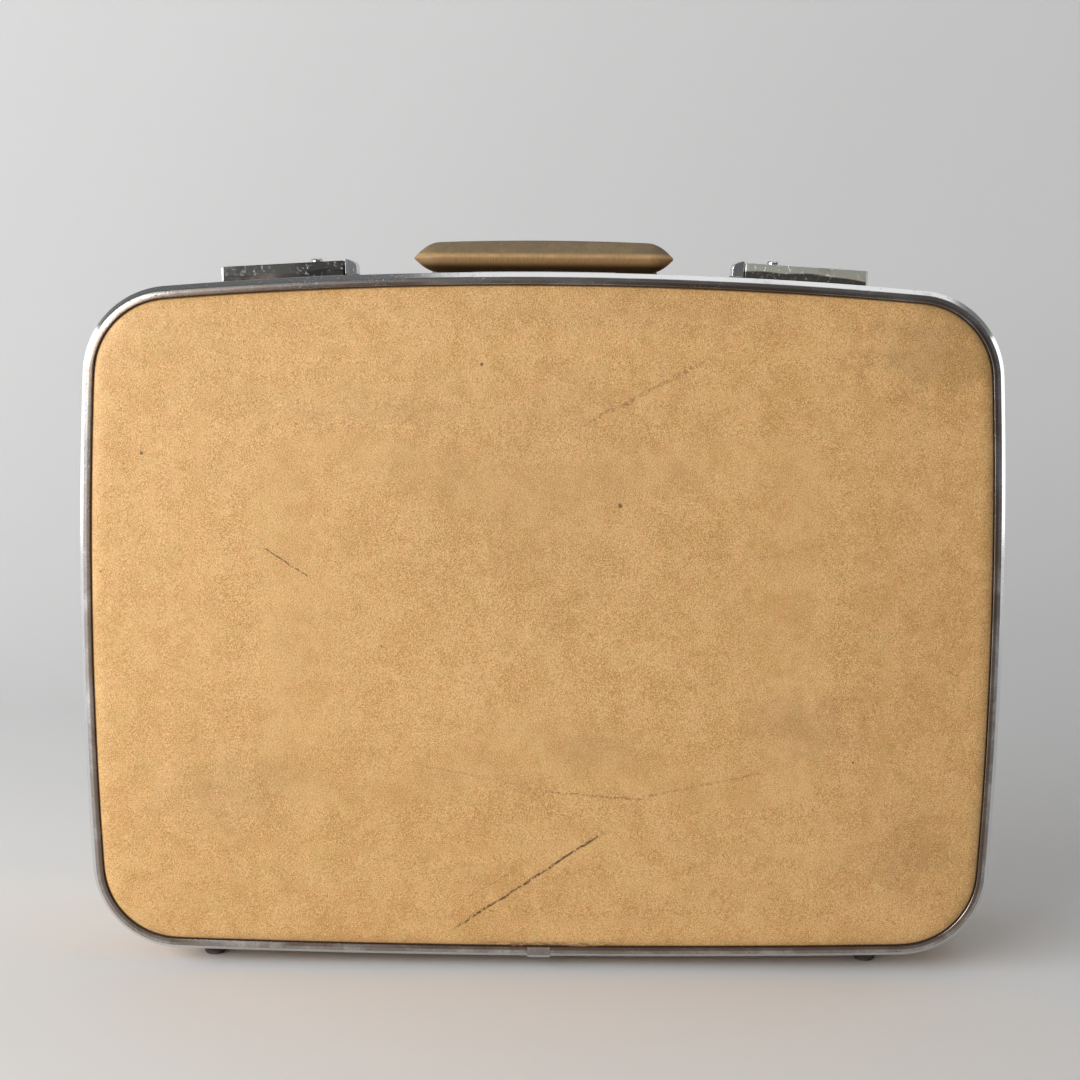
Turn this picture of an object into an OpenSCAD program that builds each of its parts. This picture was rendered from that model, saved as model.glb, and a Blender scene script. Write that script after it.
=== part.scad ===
// Hard shell suitcase: two shallow halves of board and vinyl, bound by metal edge
// mouldings, that meet in tongue-and-groove rails and hinge along the bottom edge.
// X is the width, Y the depth with the lid towards -Y, Z is up. The origin lies on the
// floor under the middle of the case. Lengths are in millimetres.

/* [Case] */
// Overall width over the edge mouldings
case_w = 560; // [500:1:620]
// Height of the case over the edge mouldings, feet left out
case_h = 420; // [380:1:480]
// Depth from edge moulding to edge moulding
case_d = 162; // [150:1:200]
// Rise of the top edge between its corners and its middle
top_bow = 14.5; // [8:0.5:20]
// Fall of the bottom edge between its corners and its middle
bottom_bow = 4.6; // [2:0.2:7]
// Swell of each side edge at mid height
side_bow = 7.8; // [4:0.2:12]
// Outer radius of the four corners
corner_r = 54; // [45:1:65]
// Rise of each padded face above its edge moulding
face_crown = 4; // [2:0.5:7]
// Height of the lowest edge above the floor
stand_h = 8; // [7.5:0.5:12]

/* [Shell walls] */
// Thickness of the fibreboard bands and panels
board_t = 3; // [2.5:0.1:4]
// Thickness of the vinyl covering
vinyl_t = 0.8; // [0.6:0.1:1.2]
// Thickness of the padded lining
lining_t = 1; // [0.6:0.1:2]

/* [Edge moulding] */
// Thickness of the moulding strip
moulding_t = 1.1; // [0.8:0.1:1.4]
// Width of the moulding seen from the front
moulding_face = 7.3; // [6:0.1:9]
// Width of the slanting outer facet seen from the front
moulding_bevel = 3; // [2.5:0.1:4.5]
// Length of the flange that laps the side of the case
moulding_side = 14; // [10:0.5:20]
// Width of the clip that covers the moulding's butt joint
clip_w = 14; // [8:0.5:20]

/* [Parting rails] */
// Distance from the outermost edge in to the rails' outer faces
rail_face = 0.2; // [0.1:0.1:0.5]
// Thickness of the rails' walls
rail_t = 1; // [0.8:0.1:1.2]
// Length of the rails' flanges along the side of the case
rail_flange = 12; // [11:0.5:14]
// Gap between the two rails when the case is shut
parting_gap = 0.3; // [0.2:0.1:0.6]
// Length of the lid's tongue beyond the parting plane
tongue_l = 3.5; // [2.5:0.1:3.8]
// Thickness of the tongue
tongue_t = 1.2; // [0.8:0.1:1.4]
// Clearance between the tongue and the groove's outer wall
tongue_gap = 0.35; // [0.3:0.05:0.5]
// Depth of the groove in the base rail
groove_d = 5.1; // [4.8:0.1:6.5]
// Width of the groove in the base rail
groove_w = 3.6; // [3.4:0.1:4]

/* [Hinges] */
// Distance of each hinge from the middle of the case
hinge_x = 150; // [110:1:190]
// Width of each hinge
hinge_w = 40; // [36:1:50]
// Outer radius of the hinge knuckles
knuckle_r = 3.5; // [3:0.1:4]
// Gap between the knuckles and the rails above them
knuckle_gap = 0.3; // [0.3:0.05:0.6]
// Radius of the hinge pins
hinge_pin_r = 1.5; // [1.2:0.1:1.8]
// Reach of each leaf from the parting plane
leaf_l = 26; // [23:0.5:32]

/* [Feet] */
// Distance of each foot from the middle of the case, across its width
foot_x = 205; // [190:1:212]
// Distance of each foot from the parting plane
foot_y = 50; // [35:1:56]
// Radius of the feet where they meet the case
foot_r = 9; // [7:0.5:11]
// Radius of the feet at the floor
foot_tip_r = 6.5; // [5:0.5:8]

/* [Handle] */
// Length of the grip from tip to tip
grip_l = 158.5; // [150:0.5:190]
// Thickness of the grip, across its ridge
grip_t = 19.4; // [16:0.1:24]
// Depth of the grip, from ridge to underside
grip_d = 23; // [20:0.5:28]
// Length of each pointed end of the grip
grip_tip = 15.6; // [12:0.1:24]
// Clearance under the folded grip
grip_rest_gap = 0.4; // [0.3:0.1:1]
// Distance from the pivots to the middle of the grip
leg_l = 45; // [40:1:52]
// Distance of each leg from the middle of the case
leg_x = 58; // [50:1:60]
// Thickness of the steel core and its legs
core_t = 3; // [2.5:0.1:4]
// Width of the steel core and its legs
core_w = 9; // [7:0.5:10]
// Distance of the handle's pivot axis behind the parting plane
pivot_y = 10; // [8:0.5:14]
// Radius of the handle's pivot pins
pivot_pin_r = 2; // [1.6:0.1:2.4]
// Thickness of the bracket lugs
lug_t = 2; // [1.5:0.1:3]

/* [Latches] */
// Distance from the side of the case to the middle of each latch
latch_inset = 120; // [108:0.5:130]
// Length of each latch flap
flap_l = 77; // [70:1:84]
// Length of each thumb slide
thumb_l = 7.4; // [6:0.2:10]
// Height of the flaps above the case edge
flap_h = 9.8; // [9.4:0.1:12]
// Thickness of the latches' sheet metal
sheet_t = 1.2; // [1:0.1:1.4]
// Reach of the flap over the lid
flap_reach = 11; // [10.5:0.5:12]
// Travel of each thumb slide
slide_travel = 6; // [4:0.5:7]
// Radius of the flap pins
flap_pin_r = 1.25; // [1:0.05:1.4]
// Radius of the lock barrels' heads
barrel_r = 3.9; // [3.4:0.1:4.4]
// Height of the lock barrels' heads above the flaps
barrel_h = 2; // [1.5:0.1:2.5]
// Gap between pieces of a latch that move past each other
latch_gap = 0.3; // [0.25:0.05:0.4]

/* [Fasteners] */
// Radius of the rivet shanks
rivet_r = 1.5; // [1.2:0.1:1.6]
// Radius of the rivet heads
rivet_head_r = 2.6; // [2.2:0.1:3]
// Height of the rivet heads
rivet_head_h = 0.9; // [0.6:0.1:1.2]
// Radial clearance of rivets, screws and pins in their holes
fit_gap = 0.05; // [0.03:0.01:0.08]

/* [Hidden] */

vinyl_tan = [0.80, 0.64, 0.41];
board_brown = [0.45, 0.36, 0.26];
lining_cream = [0.82, 0.76, 0.65];
bright_metal = [0.80, 0.81, 0.82];
worn_metal = [0.66, 0.67, 0.66];
steel = [0.56, 0.57, 0.58];
grip_brown = [0.62, 0.47, 0.30];
foot_black = [0.12, 0.11, 0.10];

// Layers of the wall, counted in from the outermost edge
vinyl_face = rail_face + rail_t;
band_face = vinyl_face + vinyl_t;
lining_face = band_face + board_t;
inner_face = lining_face + lining_t;
seat_gap = 0.1;
rail_inner = inner_face + seat_gap + rail_t;
cut = 1;

// Layers of the face, counted out from the parting plane
face_y = case_d / 2;
pad_edge_t = 1;
panel_front = face_y - moulding_t - pad_edge_t;
panel_back = panel_front - board_t;
floor_y = panel_back - lining_t;
rail_web = 1.2;
base_web = groove_d + rail_web;
lid_web = parting_gap / 2 + rail_web;

// Outline of the case: shallow arcs at the top, bottom and sides, joined by round corners
function bow_radius(half_chord, bow) = (half_chord * half_chord + bow * bow) / (2 * bow);
mid_z = stand_h + case_h / 2;
top_z = stand_h + case_h;
top_R = bow_radius(case_w / 2, top_bow);
bottom_R = bow_radius(case_w / 2, bottom_bow);
side_R = bow_radius(case_h / 2, side_bow);
top_c = [0, top_z - top_R];
bottom_c = [0, stand_h + bottom_R];
side_c = [case_w / 2 - side_R, mid_z];

// Centre of the corner arc that touches two larger arcs from inside
function corner_centre(c1, r1, c2, r2, r, turn) =
  let (
    a = r1 - r,
    b = r2 - r,
    gap = norm(c2 - c1),
    along = (a * a - b * b + gap * gap) / (2 * gap),
    aside = sqrt(a * a - along * along),
    e = (c2 - c1) / gap
  )
  c1 + along * e + turn * aside * [-e[1], e[0]];
function heading(v) = atan2(v[1], v[0]);
high_c = corner_centre(top_c, top_R, side_c, side_R, corner_r, -1);
low_c = corner_centre(bottom_c, bottom_R, side_c, side_R, corner_r, 1);
bottom_end = heading(low_c - bottom_c);
side_low = heading(low_c - side_c);
side_high = heading(high_c - side_c);
top_end = heading(high_c - top_c);

function arc(c, r, from, to, steps) =
  [for (i = [0:steps - 1]) let (a = from + (to - from) * i / steps) c + r * [cos(a), sin(a)]];
function right_outline(inset) = concat(
  arc(bottom_c, bottom_R - inset, -90, bottom_end, 4),
  arc(low_c, corner_r - inset, bottom_end, side_low, 10),
  arc(side_c, side_R - inset, side_low, side_high, 8),
  arc(high_c, corner_r - inset, side_high, top_end, 10),
  arc(top_c, top_R - inset, top_end, 90, 6),
  [top_c + [0, top_R - inset]]
);
function outline(inset) =
  let (r = right_outline(inset))
  concat(r, [for (i = [len(r) - 2:-1:1]) [-r[i][0], r[i][1]]]);
function bottom_edge(x, inset) = bottom_c[1] - sqrt(pow(bottom_R - inset, 2) - x * x);

// A slab of the case's outline, drawn in from the edge, between two depths
module slab(inset, y0, y1) {
  translate([0, y1, 0])
    rotate([90, 0, 0])
      linear_extrude(y1 - y0)
        polygon(outline(inset));
}
// A hoop that follows the outline between two insets and two depths
module hoop(outer, inner, y0, y1) {
  translate([0, y1, 0])
    rotate([90, 0, 0])
      linear_extrude(y1 - y0)
        difference() {
          polygon(outline(outer));
          polygon(outline(inner));
        }
}
function ring3d(pts, y) = [for (p = pts) [p[0], y, p[1]]];
function ring_faces(n, a, b) =
  [for (i = [0:n - 1]) let (j = (i + 1) % n) each
    [[a * n + i, a * n + j, b * n + j], [a * n + i, b * n + j, b * n + i]]];

// A strip of closed section swept round the outline. The section's points are
// [inset, depth], outer side first and towards the face.
module swept_strip(section) {
  n = len(outline(0));
  m = len(section);
  polyhedron(
    points = [for (s = section) each ring3d(outline(s[0]), s[1])],
    faces = [for (k = [0:m - 1]) each ring_faces(n, k, (k + 1) % m)]
  );
}
// A solid lofted through rings of equal count from the parting plane outwards
module loft(rings) {
  n = len(rings[0]);
  m = len(rings);
  polyhedron(
    points = [for (r = rings) each r],
    faces = concat(
      [for (k = [0:m - 2]) each ring_faces(n, k, k + 1)],
      [[for (i = [n - 1:-1:0]) i]],
      [[for (i = [0:n - 1]) (m - 1) * n + i]]
    )
  );
}
module lid_side() {
  mirror([0, 1, 0]) children();
}

// Fasteners of the hinges, as [x from the hinge's middle, depth]. The front row goes
// through the rails, and all shanks end inside the boards, short of the lining.
rivet_row = (base_web + rail_flange) / 2;
leaf_margin = 6;
hinge_rivet_x = hinge_w / 2 - leaf_margin;
hinge_rivets = [[-hinge_rivet_x, rivet_row], [hinge_rivet_x, rivet_row], [0, leaf_l - leaf_margin]];
shank_end = lining_face - 0.2;
plug = 2;

// Frame of a latch: origin on the case edge, x outwards along the top, z square to it
latch_x = case_w / 2 - latch_inset;
latch_tilt = asin(latch_x / top_R);
module at_latch() {
  translate([latch_x, 0, top_c[1] + top_R * cos(latch_tilt)])
    rotate([0, latch_tilt, 0])
      children();
}
module at_left() {
  mirror([1, 0, 0]) children();
}

module both_sides() {
  children();
  at_left() children();
}

// Fasteners are drawn along their own axis, with the head's seat at the origin
root = 0.2;
module rivet_head() {
  h = rivet_head_h;
  r = rivet_head_r;
  rotate_extrude($fn = 48)
    polygon([[0, 0], [r, 0], [0.94 * r, 0.4 * h], [0.66 * r, 0.82 * h], [0, h]]);
}
module shank(r, from, to) {
  translate([0, 0, from])
    cylinder(r = r, h = to - from, $fn = 32);
}
hole_r = rivet_r + fit_gap;
hole_end = shank_end + fit_gap;

module base_top_holes() {
  both_sides() {
    at_latch()
      for (p = latch_rivet_places)
        translate([p[0], p[1], 0])
          shank(hole_r, -hole_end, plug);
    for (dx = [-bracket_rivet_x, bracket_rivet_x])
      translate([leg_x + dx, pivot_y, bracket_seat])
        shank(hole_r, -hole_end, plug);
  }
}
module keeper_holes() {
  both_sides()
    at_latch()
      for (p = keeper_rivet_places)
        translate([p[0], p[1], 0])
          shank(hole_r, -hole_end, plug);
}
module hinge_holes() {
  both_sides()
    for (p = hinge_rivets)
      translate([hinge_x + p[0], p[1], bottom_edge(hinge_x + p[0], 0)])
        shank(hole_r, -plug, hole_end);
}
module foot_holes() {
  both_sides()
    translate([foot_x, foot_y, bottom_edge(foot_x, 0)])
      shank(hole_r, -plug, hole_end);
}

// Shell of one half, drawn on the base's side of the parting plane
moulding_drop = 5;
moulding_rise = 0.7;
vinyl_end = face_y - moulding_drop - 0.4 * moulding_t - latch_gap;
panel_inset = moulding_bevel + moulding_t + seat_gap;
moulding_section = [
  [0, face_y - moulding_side],
  [0, face_y - moulding_drop],
  [moulding_bevel, face_y - moulding_rise],
  [moulding_face, face_y],
  [moulding_face, face_y - moulding_t],
  [moulding_bevel + 0.55 * moulding_t, face_y - moulding_rise - 0.9 * moulding_t],
  [moulding_t, face_y - moulding_drop - 0.36 * moulding_t],
  [moulding_t, face_y - moulding_side]
];
moulding_joint = 0.4;

module band(web_y) {
  hoop(band_face, lining_face, web_y, panel_back);
}
module side_vinyl(web_y) {
  hoop(vinyl_face, band_face, web_y, vinyl_end);
}
module panel() {
  loft([ring3d(outline(band_face), panel_back), ring3d(outline(panel_inset), panel_front)]);
}
module lining(web_y) {
  difference() {
    slab(lining_face, web_y, panel_back);
    slab(inner_face, web_y - cut, floor_y);
  }
}
module moulding() {
  difference() {
    swept_strip(moulding_section);
    translate([-moulding_joint / 2, 0, 0])
      cube([moulding_joint, case_d, mid_z]);
  }
}
module joint_clip() {
  g = seat_gap;
  t = moulding_t - 0.3;
  z = stand_h;
  translate([-clip_w / 2, 0, 0])
    rotate([90, 0, 90])
      linear_extrude(clip_w)
        polygon([
          [face_y - moulding_side + 1, z - g],
          [face_y - moulding_drop + 0.4 * g, z - g],
          [face_y - moulding_rise + g, z + moulding_bevel - 0.4 * g],
          [face_y + g, z + moulding_face],
          [face_y + g + t, z + moulding_face],
          [face_y - moulding_rise + g + t, z + moulding_bevel - 0.4 * (g + t)],
          [face_y - moulding_drop + 0.4 * (g + t), z - g - t],
          [face_y - moulding_side + 1, z - g - t]
        ]);
}

// The padded face: [inset, depth] rings roll up beside the moulding, then crown gently
pad_edge = moulding_face;
crown_start = 30;
pad_rings = [
  [panel_inset + 0.2, panel_front],
  [panel_inset + 0.4, panel_front + 0.25],
  [pad_edge, face_y - moulding_t - 0.35],
  [pad_edge + 0.7, face_y - moulding_t],
  [pad_edge + 1.6, face_y - 0.25],
  [pad_edge + 3.4, face_y + 0.22 * face_crown],
  [pad_edge + 7, face_y + 0.42 * face_crown],
  [pad_edge + 15, face_y + 0.62 * face_crown],
  [pad_edge + crown_start, face_y + 0.8 * face_crown]
];
pad_shrinks = [[0.68, 0.92], [0.36, 0.985], [0.12, 1]];
function shrunk(pts, f) = [for (p = pts) [p[0] * f, mid_z + (p[1] - mid_z) * f]];
module face_vinyl() {
  inner = outline(pad_edge + crown_start);
  loft(concat(
    [for (r = pad_rings) ring3d(outline(r[0]), r[1])],
    [for (s = pad_shrinks) ring3d(shrunk(inner, s[0]), face_y + s[1] * face_crown)]
  ));
}

// Parting rails: a channel over the band's edge, with a groove or a tongue
module rail_channel(web_y) {
  hoop(vinyl_face, rail_inner - rail_t, web_y, rail_flange + cut);
}
module base_rail_blank() {
  groove_end = vinyl_face + groove_w;
  difference() {
    hoop(rail_face, rail_inner, parting_gap / 2, rail_flange);
    rail_channel(base_web);
    hoop(vinyl_face, groove_end, -cut, groove_d);
    hoop(groove_end + rail_t, rail_inner + cut, -cut, groove_d);
  }
}
module lid_rail_blank() {
  tongue_face = vinyl_face + tongue_gap;
  difference() {
    hoop(rail_face, rail_inner, parting_gap / 2, rail_flange);
    rail_channel(lid_web);
  }
  hoop(tongue_face, tongue_face + tongue_t, -tongue_l, (parting_gap / 2 + lid_web) / 2);
}

module base_band() {
  color(board_brown) difference() {
    band(base_web);
    base_top_holes();
    hinge_holes();
    foot_holes();
  }
}
module base_panel() {
  color(board_brown) panel();
}
module base_face_vinyl() {
  color(vinyl_tan) face_vinyl();
}
module base_side_vinyl() {
  color(vinyl_tan) difference() {
    side_vinyl(base_web);
    base_top_holes();
    hinge_holes();
    foot_holes();
  }
}
module base_moulding() {
  color(bright_metal) moulding();
}
module base_joint_clip() {
  color(bright_metal) joint_clip();
}
module base_rail() {
  color(bright_metal) difference() {
    base_rail_blank();
    base_top_holes();
    hinge_holes();
  }
}
module base_lining() {
  color(lining_cream) lining(base_web);
}
module lid_band() {
  color(board_brown) lid_side() difference() {
    band(lid_web);
    keeper_holes();
    hinge_holes();
    foot_holes();
  }
}
module lid_panel() {
  color(board_brown) lid_side() panel();
}
module lid_face_vinyl() {
  color(vinyl_tan) lid_side() face_vinyl();
}
module lid_side_vinyl() {
  color(vinyl_tan) lid_side() difference() {
    side_vinyl(lid_web);
    keeper_holes();
    hinge_holes();
    foot_holes();
  }
}
module lid_moulding() {
  color(bright_metal) lid_side() moulding();
}
module lid_joint_clip() {
  color(bright_metal) lid_side() joint_clip();
}
module lid_rail() {
  color(bright_metal) lid_side() difference() {
    lid_rail_blank();
    keeper_holes();
    hinge_holes();
  }
}
module lid_lining() {
  color(lining_cream) lid_side() lining(lid_web);
}

// Hinges: three base knuckles and two lid knuckles on a pin below the rails
hinge_z = bottom_edge(hinge_x - hinge_w / 2, rail_face) - knuckle_gap - knuckle_r;
leaf_t = 1.2;
leaf_low = hinge_z + knuckle_r - leaf_t;
leaf_start = knuckle_r + 0.4;
knuckles = 5;
knuckle_w = hinge_w / knuckles;
knuckle_side_gap = 0.15;
pin_head_r = 0.9;
module hinge_leaf(first) {
  difference() {
    union() {
      translate([hinge_x - hinge_w / 2, leaf_start, leaf_low])
        cube([hinge_w, leaf_l - leaf_start, 2 * knuckle_r]);
      for (k = [first:2:knuckles - 1])
        translate([hinge_x - hinge_w / 2 + k * knuckle_w + knuckle_side_gap, 0, hinge_z]) {
          rotate([0, 90, 0])
            cylinder(r = knuckle_r, h = knuckle_w - 2 * knuckle_side_gap, $fn = 64);
          translate([0, 0, leaf_low - hinge_z])
            cube([knuckle_w - 2 * knuckle_side_gap, leaf_start + cut, leaf_t]);
        }
    }
    slab(rail_face, leaf_start - 0.1, rail_flange + seat_gap);
    slab(vinyl_face, rail_flange, leaf_l + cut);
    translate([hinge_x - hinge_w, 0, hinge_z])
      rotate([0, 90, 0])
        cylinder(r = hinge_pin_r + fit_gap, h = 2 * hinge_w, $fn = 64);
    for (p = hinge_rivets)
      translate([hinge_x + p[0], p[1], leaf_low])
        shank(hole_r, -cut, 3 * knuckle_r);
  }
}
module hinge_pin() {
  over = 0.3;
  head = 0.8;
  translate([hinge_x - hinge_w / 2, 0, hinge_z])
    rotate([0, 90, 0]) {
      shank(hinge_pin_r, -over, hinge_w + over);
      shank(hinge_pin_r + pin_head_r, -over - head, -over);
      shank(hinge_pin_r + pin_head_r, hinge_w + over, hinge_w + over + head);
    }
}
module hinge_rivet_set() {
  both_sides()
    for (p = hinge_rivets)
      translate([hinge_x + p[0], p[1], leaf_low]) {
        shank(rivet_r, -root, bottom_edge(hinge_x + p[0], 0) + shank_end - leaf_low);
        mirror([0, 0, 1]) rivet_head();
      }
}
module right_hinge_base_leaf() {
  color(worn_metal) hinge_leaf(0);
}
module right_hinge_lid_leaf() {
  color(worn_metal) lid_side() hinge_leaf(1);
}
module right_hinge_pin() {
  color(steel) hinge_pin();
}
module hinge_base_rivets() {
  color(steel) hinge_rivet_set();
}
module hinge_lid_rivets() {
  color(steel) lid_side() hinge_rivet_set();
}

// Feet: tapered studs with a flat tip, each held by a countersunk screw
screw_head_r = 3.2;
screw_head_h = 1.6;
screw_sink = 0.8;
slot_w = 0.8;
slot_d = 0.7;
module feet() {
  both_sides()
    difference() {
      translate([foot_x, foot_y, 0])
        cylinder(r1 = foot_tip_r, r2 = foot_r, h = bottom_edge(foot_x + foot_r, vinyl_face) + cut, $fn = 72);
      slab(vinyl_face, foot_y - 2 * foot_r, foot_y + 2 * foot_r);
      translate([foot_x, foot_y, 0]) {
        shank(screw_head_r + fit_gap, -cut, screw_sink + screw_head_h);
        shank(hole_r, 0, 3 * stand_h);
      }
    }
}
module foot_screws() {
  both_sides()
    translate([foot_x, foot_y, 0])
      difference() {
        union() {
          shank(screw_head_r, screw_sink, screw_sink + screw_head_h);
          shank(rivet_r, screw_sink, bottom_edge(foot_x, 0) + shank_end);
        }
        translate([-slot_w / 2, -screw_head_r - cut, screw_sink - cut])
          cube([slot_w, 2 * screw_head_r + 2 * cut, cut + slot_d]);
      }
}
module base_feet() {
  color(foot_black) feet();
}
module lid_feet() {
  color(foot_black) lid_side() feet();
}
module base_foot_screws() {
  color(steel) foot_screws();
}
module lid_foot_screws() {
  color(steel) lid_side() foot_screws();
}

// Handle: a ridged grip moulded round a steel bail, shown folded down over the lid
grip_z = top_z + grip_rest_gap + grip_t / 2;
grip_y = pivot_y - leg_l;
eye_r = core_w / 2 + 0.5;
eye_gap = 0.3;

// Section of the grip as shares of its depth and thickness, from the ridge round
grip_half_section = [
  [0.5, 0], [0.41, 0.17], [0.28, 0.33], [0.12, 0.455], [-0.02, 0.5],
  [-0.18, 0.47], [-0.34, 0.37], [-0.46, 0.2]
];
grip_section = concat(
  grip_half_section,
  [[-0.5, 0]],
  [for (i = [len(grip_half_section) - 1:-1:1]) [grip_half_section[i][0], -grip_half_section[i][1]]]
);
tip_shares = [0, 0.2, 0.4, 0.58, 0.74, 0.87, 0.96, 1];
tip_fullness = 2.15;
tip_nose = 0.07;
function tip_thickness(t) = max(tip_nose, 1 - pow(t, tip_fullness));
function tip_depth(t) = 1 - 0.5 * t * t;
grip_stations = concat(
  [for (i = [len(tip_shares) - 1:-1:0]) [-1, tip_shares[i]]],
  [for (t = tip_shares) [1, t]]
);
module grip_body() {
  m = len(grip_section);
  n = len(grip_stations);
  straight = grip_l / 2 - grip_tip;
  points = [for (s = grip_stations) each
    [for (p = grip_section) [
      s[0] * (straight + s[1] * grip_tip),
      grip_y - p[0] * grip_d * tip_depth(s[1]),
      grip_z + p[1] * grip_t * tip_thickness(s[1])
    ]]];
  polyhedron(
    points = points,
    faces = concat(
      [for (k = [0:n - 2]) each ring_faces(m, k, k + 1)],
      [[for (i = [m - 1:-1:0]) i]],
      [[for (i = [0:m - 1]) (n - 1) * m + i]]
    )
  );
}
module core_blank(g) {
  x = leg_x + core_t / 2;
  translate([-x - g, grip_y - core_t / 2 - g, grip_z - core_w / 2 - g])
    cube([2 * x + 2 * g, core_t + 2 * g, core_w + 2 * g]);
  both_sides()
    translate([leg_x - core_t / 2 - g, grip_y, grip_z - core_w / 2 - g])
      cube([core_t + 2 * g, leg_l, core_w + 2 * g]);
}
module handle_grip() {
  color(grip_brown) difference() {
    grip_body();
    core_blank(fit_gap);
  }
}
module handle_core() {
  color(steel) difference() {
    union() {
      core_blank(0);
      both_sides()
        translate([leg_x - core_t / 2, pivot_y, grip_z])
          rotate([0, 90, 0])
            cylinder(r = eye_r, h = core_t, $fn = 64);
    }
    both_sides()
      translate([leg_x - core_t, pivot_y, grip_z])
        rotate([0, 90, 0])
          cylinder(r = pivot_pin_r + fit_gap, h = 2 * core_t, $fn = 64);
  }
}

// Brackets: a plate riveted across the rail, with two lugs round each leg's eye
bracket_half = 13;
bracket_y0 = 1;
bracket_reach = 12;
bracket_y1 = pivot_y + bracket_reach;
bracket_t = 1.5;
bracket_sunk = 4.5;
bracket_rivet_x = 9;
lug_foot = 7;
lug_taper = 0.8;
pivot_head_r = 1.2;
pivot_head_h = 1;
bracket_seat = top_c[1] + sqrt(pow(top_R - rail_face, 2) - pow(leg_x - bracket_half, 2));
module right_handle_bracket() {
  plate_top = bracket_seat + bracket_t;
  lug_in = core_t / 2 + eye_gap;
  color(worn_metal) difference() {
    union() {
      translate([leg_x - bracket_half, bracket_y0, bracket_seat - bracket_sunk])
        cube([2 * bracket_half, bracket_y1 - bracket_y0, bracket_sunk + bracket_t]);
      for (x = [leg_x - lug_in - lug_t, leg_x + lug_in])
        translate([x, 0, 0])
          rotate([90, 0, 90])
            linear_extrude(lug_t) {
              translate([pivot_y, grip_z]) circle(r = eye_r, $fn = 64);
              polygon([
                [pivot_y - lug_foot, plate_top - 0.5],
                [pivot_y + lug_foot, plate_top - 0.5],
                [pivot_y + lug_taper * eye_r, grip_z],
                [pivot_y - lug_taper * eye_r, grip_z]
              ]);
            }
    }
    slab(rail_face, bracket_y0 - cut, rail_flange + seat_gap);
    slab(vinyl_face, rail_flange, bracket_y1 + cut);
    translate([leg_x - 2 * lug_foot, pivot_y, grip_z])
      rotate([0, 90, 0])
        cylinder(r = pivot_pin_r + fit_gap, h = 4 * lug_foot, $fn = 64);
    for (dx = [-bracket_rivet_x, bracket_rivet_x])
      translate([leg_x + dx, pivot_y, plate_top])
        shank(hole_r, -bracket_t - bracket_sunk - cut, cut);
  }
}
module right_handle_pin() {
  reach = core_t / 2 + eye_gap + lug_t;
  color(steel) translate([leg_x, pivot_y, grip_z])
    rotate([0, 90, 0]) {
      shank(pivot_pin_r, -reach, reach);
      shank(pivot_pin_r + pivot_head_r, reach, reach + pivot_head_h);
      shank(pivot_pin_r + pivot_head_r, -reach - pivot_head_h, -reach);
    }
}
module handle_rivets() {
  color(steel) both_sides()
    for (dx = [-bracket_rivet_x, bracket_rivet_x])
      translate([leg_x + dx, pivot_y, bracket_seat + bracket_t]) {
        shank(rivet_r, -bracket_t - shank_end, root);
        rivet_head();
      }
}

// Latches, in the frame of at_latch: the thumb slide is at the inner end
slide_gap = 0.6;
latch_half = (flap_l + slide_gap + thumb_l) / 2;
flap_in = latch_half - flap_l;
thumb_out = thumb_l - latch_half;
plate_top = sheet_t - rail_face;
plate_low_top = sheet_t - vinyl_face;
plate_y0 = 1;
plate_y1 = 22.5;
plate_sunk = 3;
plate_end = latch_half - sheet_t - 0.7;
flap_pin_y = 20;
flap_pin_z = plate_low_top + 4.5;
flap_rear = flap_pin_y + 3.6;
flap_edge = 1.4;
tail_low = plate_top + latch_gap;
tail_top = tail_low + sheet_t;
pin_lug_r = 3;
lug_in = flap_in + sheet_t + latch_gap;
lug_out = latch_half - sheet_t - latch_gap - lug_t;

// The thumb slide's tail, its window, and the post and spring inside the window
tail_y0 = 3;
tail_y1 = 10;
tail_y = (tail_y0 + tail_y1) / 2;
window_side = 1.6;
window_in = flap_in + 2.5;
post_w = 2;
post_in = window_in + 0.5;
post_out = post_in + 1.5;
spring_block = 9;
window_out = post_out + slide_travel + spring_block;
tail_end = window_out + 3;
guide_l = 4;
guide_t = 1;
guide_lap = 0.8;
guide_places = [post_in + 0.5, window_out - guide_l - 1];
root_z = plate_top - 0.3;

// The flap's skirts pass over the tail, and its catch over the keeper's lip
skirt_low = tail_top + latch_gap;
flap_in_z = flap_h - sheet_t;
rear_skirt = 2.2;
pin_lug_z = flap_h - rear_skirt;
catch_half = 9;
catch_low = skirt_low - 0.1;
catch_lap = 3.8;
keeper_lip_top = catch_low - 0.4;
keeper_y0 = 0.7;
keeper_y1 = flap_reach - 0.6;
keeper_u0 = flap_in + 1;
keeper_u1 = latch_half - 1;
keeper_top = plate_top - 0.2;
barrel_inset = 17.5;
barrel_place = [flap_in + barrel_inset, -3];
barrel_body_r = barrel_r - 0.3;
barrel_low = flap_pin_z - 0.3;
barrel_seat = 0.05;
barrel_edge = 0.8;
key_slot_l = 4.8;
key_slot_w = 1.2;
key_slot_d = 1.5;
cam_l = 6;
cam_w = 3;

// Fasteners of the latches, as [place along the latch, depth]
rear_row = (rail_flange + plate_y1) / 2;
keeper_row = keeper_y1 - 3.8;
keeper_margin = 12;
past_tail = 24;
before_lug = 6;
beside_lugs = [9, 23];
latch_rivet_places = [
  [tail_end + past_tail, rivet_row], [lug_out - before_lug, rivet_row],
  [lug_in + beside_lugs[0], rear_row], [lug_out - beside_lugs[1], rear_row]
];
keeper_rivet_places = [[keeper_u0 + keeper_margin, keeper_row], [keeper_u1 - keeper_margin, keeper_row]];

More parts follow.
